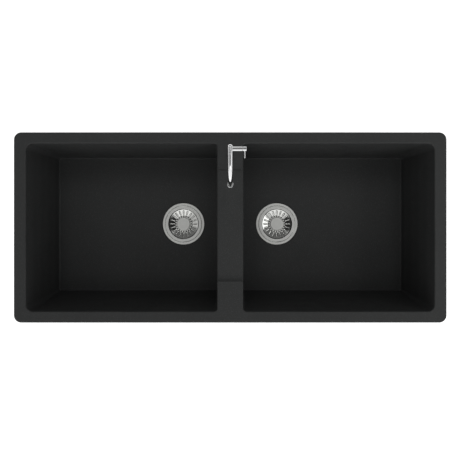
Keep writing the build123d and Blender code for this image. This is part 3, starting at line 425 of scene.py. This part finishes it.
# %% [markdown]
# ## Starting and ending a material
# All finishes begin with a Principled shader and Object coordinates, which stick to a piece when it
# moves, and end with a Bump node that feeds the shader's normal. What is the same all over the
# surface, such as Metallic, is set on the shader's own socket.

# %% Helpers for materials
finishes = {}


def start_finish(name, **plain):
    """Make a material; plain values go straight to the shader's sockets."""
    material = bpy.data.materials.new(name)
    material.use_nodes = True
    tree = material.node_tree
    shader = tree.nodes["Principled BSDF"]
    for socket, value in plain.items():
        shader.inputs[socket.replace("_", " ")].default_value = value
    place = put(tree, "ShaderNodeTexCoord").outputs["Object"]
    finishes[name] = material
    return tree, shader, place


def group_in(tree, group, **inputs):
    """Place a shared group in a material and return its outputs."""
    return put(tree, "ShaderNodeGroup", inputs, node_tree=group).outputs


def relief(tree, height, depth, strength):
    """Bump the surface by a height, depth metres deep, and return its normal."""
    inputs = {"Height": height, "Distance": depth, "Strength": strength}
    return put(tree, "ShaderNodeBump", inputs).outputs[0]


def end_finish(tree, shader, colour, roughness, normal):
    """Wire what changes over the surface into the shader."""
    tree.links.new(colour, shader.inputs["Base Color"])
    tree.links.new(roughness, shader.inputs["Roughness"])
    tree.links.new(normal, shader.inputs["Normal"])
    print("finish", list(finishes)[-1])


print("material helpers ready")

# %% [markdown]
# ## Dark quartz composite
# The tray is cast from quartz sand in black resin. From a distance it is an even soft black; close
# up, paler grains half a millimetre wide show through, and the skin is slightly rough to the touch. A
# plain black would look like paint. So a Voronoi pattern picks out the grains, a slow noise clouds the
# resin, and the moulded skin gives the fine relief that keeps the highlights soft.

# %% Composite
RESIN_DARK, RESIN_LIGHT = (0.0405, 0.042, 0.042), (0.048, 0.0492, 0.0487)
QUARTZ = (0.11, 0.11, 0.109)
SAND_PER_METRE = 1300.0
QUARTZ_PICK = (0.86, 0.94)    # random red of a cell, from resin to quartz
GRAIN_EDGE = (0.25, 0.6)      # where a grain fades into the resin, in cells from its middle
GRAIN_POLISH = -0.12          # a quartz grain is glossier than the resin
SAND_RELIEF = 0.6             # of the moulded skin's relief


def make_composite():
    """Black resin with pale quartz grains."""
    tree, shader, place = start_finish("composite_finish", Specular_IOR_Level=0.12)
    skin = group_in(tree, moulded_skin, Vector=place, Scale=1800.0)
    sand = put(tree, "ShaderNodeTexVoronoi", {"Vector": place, "Scale": SAND_PER_METRE}).outputs
    pick = put(tree, "ShaderNodeSeparateColor", {"Color": sand["Color"]}).outputs["Red"]
    near = spread(tree, sand["Distance"], *GRAIN_EDGE, 1.0, 0.0)
    grain = maths(tree, "MULTIPLY", spread(tree, pick, *QUARTZ_PICK), near)
    resin = mix_colours(tree, noise(tree, place, 9.0, Detail=5.0), RESIN_DARK, RESIN_LIGHT)
    marks = group_in(tree, wiped_marks, Vector=place, Scale=14.0, Low=0.42, High=0.54)
    gloss = maths(tree, "ADD", marks["Roughness"], maths(tree, "MULTIPLY", grain, GRAIN_POLISH))
    height = maths(tree, "ADD", skin["Height"], maths(tree, "MULTIPLY", sand["Distance"], SAND_RELIEF))
    colour = mix_colours(tree, grain, resin, QUARTZ)
    end_finish(tree, shader, colour, gloss, relief(tree, height, depth=0.04 * MM, strength=0.7))


make_composite()

# %% [markdown]
# ## Steel of the strainers
# The strainers are pressed from stainless steel. Their flat rings and the knob are turned to a satin,
# the sloping cone is polished bright, and the flutes in it are a little duller, so the gloss follows
# the slope of the surface and the place of the flutes. Every piece has rings round its own drain. Two
# materials could do that, one for each side, but here the coordinates are folded at X = 0 and centred
# on a drain, so one material serves both.

# %% Coordinates round the nearer drain
def centred(tree, place, x, y):
    """Shift the coordinates so that an upright axis runs through their origin."""
    return put(tree, "ShaderNodeMapping", {"Vector": place, "Location": (-x, -y, 0.0)}).outputs[0]


def round_the_drain(tree, place):
    """Coordinates measured from the drain on the point's own side, mirrored at the left."""
    own = axes(tree, place)
    folded = axes(tree, vector_maths(tree, "ABSOLUTE", place))
    joined = put(tree, "ShaderNodeCombineXYZ", {"X": folded["X"], "Y": own["Y"], "Z": own["Z"]})
    return centred(tree, joined.outputs[0], DRAIN_X, DRAIN_Y)


def drain_axis(tree, place):
    """Point on the drain's axis that is level with a place."""
    own = axes(tree, place)
    axis_x = maths(tree, "MULTIPLY", maths(tree, "SIGN", own["X"]), DRAIN_X)
    return put(tree, "ShaderNodeCombineXYZ", {"X": axis_x, "Y": DRAIN_Y, "Z": own["Z"]}).outputs[0]


print("drain coordinates ready")

# %% [markdown]
# ### Flutes and strips
# A polished cone shows what it mirrors: between its flutes the dark wall of the bowl, and in them the
# paler ceiling. The press leaves the strips between the flutes a few degrees steeper, and the flutes
# flatter, than the plain cone of the CAD. That is too little to see as a shape, and only the mirror
# image tells it, so the material leans the normal towards the drain's axis or away from it.

# %% Where the flutes are
CUP_RADIUS = 44.0 * MM
FLUTE_COUNT = 20
FLUTE_RING = (23.5 * MM, 38.0 * MM)   # where the flutes start and end, from the drain's axis
FLUTE_END_FADE = 1.5 * MM
FLUTE_SIDE_FADE = (-0.1, 0.5)         # height of the cosine wave, from strip to flute
CONE_RING = (18.5 * MM, 41.0 * MM)    # where the cone starts and ends
CONE_END_FADE = 1.0 * MM


def make_flute_mask(tree, around, reach):
    """White along the basket's flutes, black between them."""
    parts = axes(tree, around)
    angle = maths(tree, "ARCTAN2", parts["X"], parts["Y"])
    wave = maths(tree, "COSINE", maths(tree, "MULTIPLY", angle, float(FLUTE_COUNT)))
    inner = spread(tree, reach, FLUTE_RING[0], FLUTE_RING[0] + FLUTE_END_FADE)
    outer = spread(tree, reach, FLUTE_RING[1] - FLUTE_END_FADE, FLUTE_RING[1], 1.0, 0.0)
    across = spread(tree, wave, *FLUTE_SIDE_FADE)
    return maths(tree, "MULTIPLY", across, maths(tree, "MULTIPLY", inner, outer))


def make_cone_mask(tree, reach):
    """White on the basket's cone."""
    inner = spread(tree, reach, CONE_RING[0], CONE_RING[0] + CONE_END_FADE)
    outer = spread(tree, reach, CONE_RING[1] - CONE_END_FADE, CONE_RING[1])
    return maths(tree, "SUBTRACT", inner, outer)


print(FLUTE_COUNT, "flutes on each basket")

# %% Lean of the strips and flutes
STRIP_LEAN = math.tan(math.radians(4.5))
FLUTE_LIFT = math.tan(math.radians(1.5))


def lean_normal(tree, place, normal, flute, cone):
    """Turn the cone's normal inwards on its strips and outwards in its flutes."""
    lean = spread(tree, flute, 0.0, 1.0, STRIP_LEAN, -FLUTE_LIFT)
    inward = vector_maths(tree, "NORMALIZE", vector_maths(tree, "SUBTRACT", drain_axis(tree, place), place))
    push = put(tree, "ShaderNodeVectorMath", {0: inward, "Scale": maths(tree, "MULTIPLY", lean, cone)},
               operation="SCALE").outputs[0]
    return vector_maths(tree, "NORMALIZE", vector_maths(tree, "ADD", normal, push))


print("lean", round(STRIP_LEAN, 4), round(-FLUTE_LIFT, 4))

# %% [markdown]
# ### The finish itself
# A level face is satin and a sloping one is bright, so the steel's own normal sets the gloss. Inside
# the cup the steel is painted nearly black, a painted shade, so the slots by the knob look dark.

# %% Strainer steel
STEEL_DARK, STEEL_LIGHT = (0.66, 0.665, 0.64), (0.78, 0.785, 0.76)
# Near-black colour painted inside the cup as shade, below the flange and within its wall.
PAINTED_CUP_SHADE = (0.11, 0.105, 0.095)
CUP_SHADE_RADIUS = CUP_RADIUS - 2.0 * MM
CUP_SHADE_TOP = FLANGE_TOP - 8.0 * MM
CUP_SHADE_SIDE_FADE, CUP_SHADE_TOP_FADE = 0.5 * MM, 1.0 * MM
SLOPING, LEVEL = 0.951, 0.966         # share of Z in the normal of a bright and of a satin face
BRIGHT_ROUGHNESS, SATIN_ROUGHNESS, FLUTE_ROUGHNESS = 0.05, 0.34, 0.24
RING_DEPTH = 0.0009 * MM
HAIR_DEPTH = 0.0003 * MM


def make_strainer_steel():
    """Steel that is satin where it is level, bright on the cone and painted dark inside the cup as shade."""
    tree, shader, place = start_finish("strainer_finish", Metallic=1.0)
    around = round_the_drain(tree, place)
    reach = reach_from_axis(tree, around)
    rings = group_in(tree, turned_lines, Vector=around, Lines=1400.0)
    marks = group_in(tree, wiped_marks, Vector=place, Scale=55.0, Low=0.0, High=0.05)
    normal = put(tree, "ShaderNodeNewGeometry").outputs["Normal"]

    height = axes(tree, place)["Z"]
    # Masks of the painted shade: low in the cup and inside its wall.
    deep = spread(tree, height, CUP_SHADE_TOP - CUP_SHADE_TOP_FADE, CUP_SHADE_TOP + CUP_SHADE_TOP_FADE, 1.0, 0.0)
    inside = spread(tree, reach, CUP_SHADE_RADIUS - CUP_SHADE_SIDE_FADE, CUP_SHADE_RADIUS + CUP_SHADE_SIDE_FADE, 1.0, 0.0)
    plain_metal = mix_colours(tree, rings["Band"], STEEL_DARK, STEEL_LIGHT)
    # Painted shade: the inside of the cup takes the near-black colour.
    colour = mix_colours(tree, maths(tree, "MULTIPLY", inside, deep), plain_metal, PAINTED_CUP_SHADE)

    top = maths(tree, "SUBTRACT", 1.0, deep)
    flute = maths(tree, "MULTIPLY", make_flute_mask(tree, around, reach), top)
    cone = maths(tree, "MULTIPLY", make_cone_mask(tree, reach), top)
    satin = spread(tree, axes(tree, normal)["Z"], SLOPING, LEVEL, BRIGHT_ROUGHNESS, SATIN_ROUGHNESS)
    satin = maths(tree, "MAXIMUM", satin, maths(tree, "MULTIPLY", flute, FLUTE_ROUGHNESS))

    turned = maths(tree, "MULTIPLY", rings["Height"], RING_DEPTH)
    wiped = maths(tree, "MULTIPLY", marks["Height"], HAIR_DEPTH)
    leaned = lean_normal(tree, place, normal, flute, cone)
    bump = put(tree, "ShaderNodeBump", {"Height": maths(tree, "ADD", turned, wiped), "Distance": 1.0,
                                        "Normal": leaned})
    end_finish(tree, shader, colour, maths(tree, "ADD", marks["Roughness"], satin), bump.outputs[0])


make_strainer_steel()

# %% [markdown]
# ## Chrome of the tap
# Bright chrome plate is almost a mirror, so a colour says little about it. What makes it look real is
# what it reflects, with a trace of wiping marks in the gloss and of water haze in the colour.

# %% Chrome
CHROME_HAZED, CHROME_CLEAR = (0.78, 0.785, 0.79), (0.87, 0.875, 0.88)


def make_chrome():
    """Mirror plate with haze and wiping marks."""
    tree, shader, place = start_finish("chrome_finish", Metallic=1.0)
    marks = group_in(tree, wiped_marks, Vector=place, Scale=120.0, Low=0.03, High=0.1)
    haze = noise(tree, place, 35.0, Detail=3.0)
    colour = mix_colours(tree, haze, CHROME_HAZED, CHROME_CLEAR)
    normal = relief(tree, marks["Height"], depth=0.004 * MM, strength=0.5)
    end_finish(tree, shader, colour, marks["Roughness"], normal)


make_chrome()

# %% [markdown]
# ## Machined and plated metals
# Brass shows on the tap's shank and nut under the worktop and in the inserts that take the fixing
# clips. Zinc plated steel is used for the strainer stems, clips, washer and small screws. Both are
# the same recipe with other colours, so one function makes them: rings of the lathe, wiping marks and
# darker patches where the metal has dulled.

# %% Brass and zinc plated steel
PATCH_EDGE = (0.35, 0.75)     # of the noise, from clean to dulled metal


def make_machined(name, plain_metal, dulled, low, high, lines):
    """Turned metal with dulled patches, its lowest and highest roughness and its rings per metre."""
    tree, shader, place = start_finish(name, Metallic=1.0)
    marks = group_in(tree, wiped_marks, Vector=place, Scale=150.0, Low=low, High=high)
    rings = group_in(tree, turned_lines, Vector=centred(tree, place, 0.0, TAP_Y), Lines=lines)
    patch = spread(tree, noise(tree, place, 210.0, Detail=4.0), *PATCH_EDGE)
    normal = relief(tree, rings["Height"], depth=0.003 * MM, strength=0.5)
    end_finish(tree, shader, mix_colours(tree, patch, plain_metal, dulled), marks["Roughness"], normal)


make_machined("brass_finish", (0.72, 0.53, 0.25), (0.52, 0.36, 0.16), low=0.2, high=0.38, lines=1800.0)
make_machined("zinc_finish", (0.62, 0.63, 0.65), (0.46, 0.47, 0.49), low=0.26, high=0.42, lines=1600.0)

# %% [markdown]
# ## Graphite ring under the tap
# The small ring between tap and sink is satin graphite, like a lacquer over metal. Plain black would
# look like rubber. A thin clear coat on a partly metallic base gives the ring its sheen, and the
# moulded skin its fine speckle.

# %% Graphite ring
GRAPHITE_DARK, GRAPHITE_LIGHT = (0.036, 0.036, 0.038), (0.052, 0.052, 0.055)


def make_graphite():
    """Dark lacquer with a soft clear sheen."""
    tree, shader, place = start_finish("graphite_finish", Metallic=0.6, Coat_Weight=0.25,
                                       Coat_Roughness=0.2)
    skin = group_in(tree, moulded_skin, Vector=place, Scale=5200.0)
    marks = group_in(tree, wiped_marks, Vector=place, Scale=180.0, Low=0.28, High=0.42)
    colour = mix_colours(tree, skin["Tone"], GRAPHITE_DARK, GRAPHITE_LIGHT)
    normal = relief(tree, skin["Height"], depth=0.01 * MM, strength=0.5)
    end_finish(tree, shader, colour, marks["Roughness"], normal)


make_graphite()

# %% [markdown]
# ## Rubber and plastic
# Seals, washers and gaskets are rubber, the nuts and waste pipes under the bowls are white plastic,
# and the aerator is grey plastic. All come out of a mould, so they share the moulded skin and differ
# in its scale and depth, their colours and their gloss.

# %% Moulded finishes
TONE_RANGE = (0.3, 0.7)       # of the clouds, from the first colour to the second


def make_moulded(name, first, second, grits, depth, low, high, **plain):
    """Moulded rubber or plastic: grits per metre and their depth, and its lowest and highest roughness."""
    tree, shader, place = start_finish(name, **plain)
    skin = group_in(tree, moulded_skin, Vector=place, Scale=grits)
    marks = group_in(tree, wiped_marks, Vector=place, Scale=70.0, Low=low, High=high)
    colour = mix_colours(tree, spread(tree, skin["Tone"], *TONE_RANGE), first, second)
    normal = relief(tree, skin["Height"], depth, strength=0.7)
    end_finish(tree, shader, colour, marks["Roughness"], normal)


make_moulded("black_rubber_finish", (0.024, 0.024, 0.024), (0.036, 0.036, 0.037),
             grits=2600.0, depth=0.05 * MM, low=0.6, high=0.78)
make_moulded("seal_rubber_finish", (0.042, 0.042, 0.046), (0.058, 0.058, 0.062),
             grits=4200.0, depth=0.02 * MM, low=0.42, high=0.6)
make_moulded("white_plastic_finish", (0.79, 0.79, 0.765), (0.84, 0.84, 0.825),
             grits=3000.0, depth=0.02 * MM, low=0.26, high=0.4,
             Subsurface_Weight=0.05, Subsurface_Scale=3.0 * MM)
make_moulded("grey_plastic_finish", (0.5, 0.5, 0.5), (0.58, 0.58, 0.58),
             grits=4000.0, depth=0.02 * MM, low=0.35, high=0.5)

# %% [markdown]
# ## Pressed fibre
# The friction rings between gasket and lock nut are pressed from brown fibre. Its strands lie flat
# and tangled, so a noise is squeezed along Z and distorted, and colour, gloss and relief follow it.

# %% Fibre
FIBRE_DARK, FIBRE_LIGHT = (0.42, 0.29, 0.19), (0.62, 0.47, 0.33)
FIBRE_SQUEEZE = (1.0, 1.0, 5.0)
FIBRE_TONES = (0.35, 0.65)    # of the noise, from the dark colour to the light one
FIBRE_DULL = (0.75, 0.92)     # roughness of the deepest and the highest strand


def make_fibre():
    """Brown card of matted strands."""
    tree, shader, place = start_finish("fibre_finish")
    matted = put(tree, "ShaderNodeMapping", {"Vector": place, "Scale": FIBRE_SQUEEZE}).outputs[0]
    strands = noise(tree, matted, 900.0, Detail=6.0, Roughness=0.7, Distortion=2.0)
    colour = mix_colours(tree, spread(tree, strands, *FIBRE_TONES), FIBRE_DARK, FIBRE_LIGHT)
    gloss = spread(tree, strands, 0.2, 0.8, *FIBRE_DULL)
    end_finish(tree, shader, colour, gloss, relief(tree, strands, depth=0.08 * MM, strength=0.7))


make_fibre()

# %% [markdown]
# ## Dressing the CAD pieces
# The record names a material slot for every piece. Each slot has one finish, so a table of slots
# dresses all of them and leaves their meshes as they are.

# %% Give every piece the finish of its slot
SLOT_FINISH = {
    "composite": "composite_finish", "strainer_steel": "strainer_finish", "chrome": "chrome_finish",
    "brass": "brass_finish", "fixing_steel": "zinc_finish", "black_rubber": "black_rubber_finish",
    "seal_rubber": "seal_rubber_finish", "grey_plastic": "grey_plastic_finish",
    "white_plastic": "white_plastic_finish", "fibre": "fibre_finish", "base_ring_finish": "graphite_finish",
}
for part in frame["record"]["subparts"]:
    piece = frame["nodes"][part["node"]]
    piece.data.materials.clear()
    piece.data.materials.append(finishes[SLOT_FINISH[part["material_slot"]]])

# %% [markdown]
# ## Growing pieces with Geometry Nodes
# Threads and gauze repeat one small shape many times. A loop over points could build them too, but
# that is what Geometry Nodes do well, and a tree with named inputs serves for every size of thread.
# It is run once on a small starting mesh, its result is kept as a plain mesh and the modifier is taken
# off, so the finished piece exports like any other.

# %% Helpers that start and end a geometry tree
def new_shape_tree(name, inputs):
    """Start a geometry tree; inputs map labels to a kind of socket."""
    tree = bpy.data.node_groups.new(name, "GeometryNodeTree")
    tree.interface.new_socket("Geometry", in_out="INPUT", socket_type="NodeSocketGeometry")
    for label, kind in inputs.items():
        tree.interface.new_socket(label, in_out="INPUT", socket_type="NodeSocket" + kind)
    tree.interface.new_socket("Geometry", in_out="OUTPUT", socket_type="NodeSocketGeometry")
    return tree, tree.nodes.new("NodeGroupInput").outputs


def end_shape_tree(tree, given, shape):
    """Close a geometry tree with real meshes and a material."""
    real = put(tree, "GeometryNodeRealizeInstances", {"Geometry": shape}).outputs[0]
    dressed = put(tree, "GeometryNodeSetMaterial", {"Geometry": real, "Material": given["Material"]})
    put(tree, "NodeGroupOutput", {"Geometry": dressed.outputs[0]})
    print("tree", tree.name)
    return tree


# %% Helper that runs a tree and keeps its mesh
def grow(name, tree, start, body, slot, **values):
    """Run a tree on a starting mesh and hand the result to a body."""
    piece = show(bpy.data.objects.new(name, start))
    modifier = piece.modifiers.new("shape", "NODES")
    modifier.node_group = tree
    values["Material"] = finishes[SLOT_FINISH[slot]]
    for socket in tree.interface.items_tree:
        if socket.in_out == "INPUT" and socket.name in values:
            modifier[socket.identifier] = values[socket.name]
    grown = piece.evaluated_get(bpy.context.evaluated_depsgraph_get())
    mesh = bpy.data.meshes.new_from_object(grown)
    piece.modifiers.remove(modifier)
    piece.data = mesh
    mesh.name = name
    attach(piece, body)
    print(name, len(mesh.vertices), "points", len(mesh.polygons), "faces")


print("grow keeps a tree's result as a mesh")

# %% [markdown]
# ## Screw threads
# A thread is a small ridge wound round a cylinder. A bump could suggest it, but its outline would stay
# smooth from the side. So the tree winds a spiral, sweeps a ridge of four sides along it and stands a
# copy on each starting point, turned to the direction stored there. The CAD keeps its cylinders plain,
# so the ridges stand on them by a fraction of a millimetre.

# %% Thread tree
def make_thread_tree():
    """Tree of one thread per starting point."""
    tree, given = new_shape_tree("screw_thread", {"Radius": "Float", "Length": "Float", "Pitch": "Float",
                                                  "Ridge": "Float", "Steps": "Int", "Material": "Material"})
    turns = maths(tree, "DIVIDE", given["Length"], given["Pitch"])
    spiral = put(tree, "GeometryNodeCurveSpiral", {
        "Resolution": given["Steps"], "Rotations": turns, "Start Radius": given["Radius"],
        "End Radius": given["Radius"], "Height": given["Length"], "Reverse": True}).outputs[0]
    ridge = put(tree, "GeometryNodeCurvePrimitiveCircle", {"Resolution": 4, "Radius": given["Ridge"]})
    swept = put(tree, "GeometryNodeCurveToMesh", {
        "Curve": spiral, "Profile Curve": ridge.outputs[0], "Fill Caps": True}).outputs[0]
    facing = put(tree, "GeometryNodeInputNamedAttribute", {"Name": "facing"}, data_type="FLOAT_VECTOR")
    turned = put(tree, "FunctionNodeAlignRotationToVector", {
        "Vector": facing.outputs["Attribute"]}, axis="Z")
    copies = put(tree, "GeometryNodeInstanceOnPoints", {
        "Points": given["Geometry"], "Instance": swept, "Rotation": turned.outputs[0]})
    return end_shape_tree(tree, given, copies.outputs[0])


thread_tree = make_thread_tree()

# %% Helpers that place a thread
UP = (0.0, 0.0, 1.0)


def starting_points(name, places):
    """Mesh of loose points; each place is a point and the direction it faces."""
    mesh = bpy.data.meshes.new(name)
    mesh.from_pydata([point for point, _ in places], [], [])
    facing = mesh.attributes.new("facing", "FLOAT_VECTOR", "POINT")
    facing.data.foreach_set("vector", [value for _, way in places for value in way])
    return mesh


def wind_thread(name, slot, axis, heights, **sizes):
    """Wind a thread between two heights, round an upright axis."""
    low, high = heights
    start = starting_points(name, [((*axis, low), UP)])
    grow(name, thread_tree, start, "sink", slot, Length=high - low, **sizes)


print("thread helpers ready")

# %% [markdown]
# Where the threads go follows from the pieces they screw into: on the strainer cups below their lock
# nuts, on their necks above the coupling nuts, and on the tap's shank below its nut. Each ends half a
# millimetre or so from its nut, so that no ridge runs into one.

# %% Threads of the strainers and the tap
NECK_RADIUS = 23.9 * MM
SHANK_RADIUS = 4.9 * MM
SHANK_THREAD_SINK = 0.15 * MM         # how far the shank's fine thread is sunk into it
CUP_THREAD_DEPTH = 38.4 * MM          # from the flange's top down to the foot of the cup's thread
NECK_THREAD_DEPTH = 48.4 * MM         # from the flange's top down to the top of the neck's thread
SHANK_THREAD_RISE = 18.8 * MM         # from the shank's lower end, past its plain inlet
NUT_GAP = 0.5 * MM
NECK_NUT_GAP = 0.6 * MM
cup_heights = (FLANGE_TOP - CUP_THREAD_DEPTH, span("right_lock_nut")[0] - NUT_GAP)
neck_heights = (span("right_coupling_nut")[1] + NECK_NUT_GAP, FLANGE_TOP - NECK_THREAD_DEPTH)
shank_heights = (span("tap_shank")[0] + SHANK_THREAD_RISE, span("shank_nut")[0] - NUT_GAP)

for side, sign in SIDES.items():
    drain = (sign * DRAIN_X, DRAIN_Y)
    wind_thread(side + "_cup_thread", "strainer_steel", drain, cup_heights, Radius=CUP_RADIUS,
                Pitch=2.8 * MM, Ridge=0.7 * MM, Steps=72)
    wind_thread(side + "_outlet_thread", "strainer_steel", drain, neck_heights, Radius=NECK_RADIUS,
                Pitch=2.3 * MM, Ridge=0.55 * MM, Steps=56)
wind_thread("shank_thread", "brass", (0.0, TAP_Y), shank_heights,
            Radius=SHANK_RADIUS - SHANK_THREAD_SINK, Pitch=1.0 * MM, Ridge=0.35 * MM, Steps=32)

# %% [markdown]
# ## Gauze of the aerator
# Water leaves the tap through a round wire gauze. A picture of a mesh on a disc would do from afar,
# but real wires also catch the light. The tree lays a square grid of lines, drops what lies outside
# the circle and sweeps each remaining line with a thin wire.

# %% Gauze tree
def make_gauze_tree():
    """Tree of a round piece of wire gauze."""
    tree, given = new_shape_tree("round_gauze", {"Radius": "Float", "Lines": "Int", "Wire": "Float",
                                                 "Centre": "Vector", "Material": "Material"})
    width = maths(tree, "MULTIPLY", given["Radius"], 2.0)
    grid = put(tree, "GeometryNodeMeshGrid", {
        "Size X": width, "Size Y": width, "Vertices X": given["Lines"], "Vertices Y": given["Lines"]})
    reach = length(tree, put(tree, "GeometryNodeInputPosition").outputs[0])
    outside = put(tree, "FunctionNodeCompare", {"A": reach, "B": given["Radius"]}, operation="GREATER_THAN")
    round_grid = put(tree, "GeometryNodeDeleteGeometry", {
        "Geometry": grid.outputs["Mesh"], "Selection": outside.outputs[0]})
    lines = put(tree, "GeometryNodeMeshToCurve", {"Mesh": round_grid.outputs[0]})
    wire = put(tree, "GeometryNodeCurvePrimitiveCircle", {"Resolution": 6, "Radius": given["Wire"]})
    swept = put(tree, "GeometryNodeCurveToMesh", {
        "Curve": lines.outputs[0], "Profile Curve": wire.outputs[0], "Fill Caps": True})
    placed = put(tree, "GeometryNodeTransform", {
        "Geometry": swept.outputs[0], "Translation": given["Centre"]})
    return end_shape_tree(tree, given, placed.outputs[0])


gauze_tree = make_gauze_tree()

# %% Gauze under the aerator
GAUZE_INSET = 0.95 * MM       # from the aerator's outside to the gauze's edge
GAUZE_DROP = 0.12 * MM        # below the aerator
WIRE_RADIUS = 0.1 * MM

aerator_low, aerator_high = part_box("aerator")
gauze_radius = (aerator_high[0] - aerator_low[0]) / 2 - GAUZE_INSET
gauze_centre = (*middle("aerator").xy, aerator_low[2] - GAUZE_DROP)
grow("aerator_gauze", gauze_tree, bpy.data.meshes.new("gauze_start"), "spout_set", "fixing_steel",
     Radius=gauze_radius, Lines=13, Wire=WIRE_RADIUS, Centre=gauze_centre)
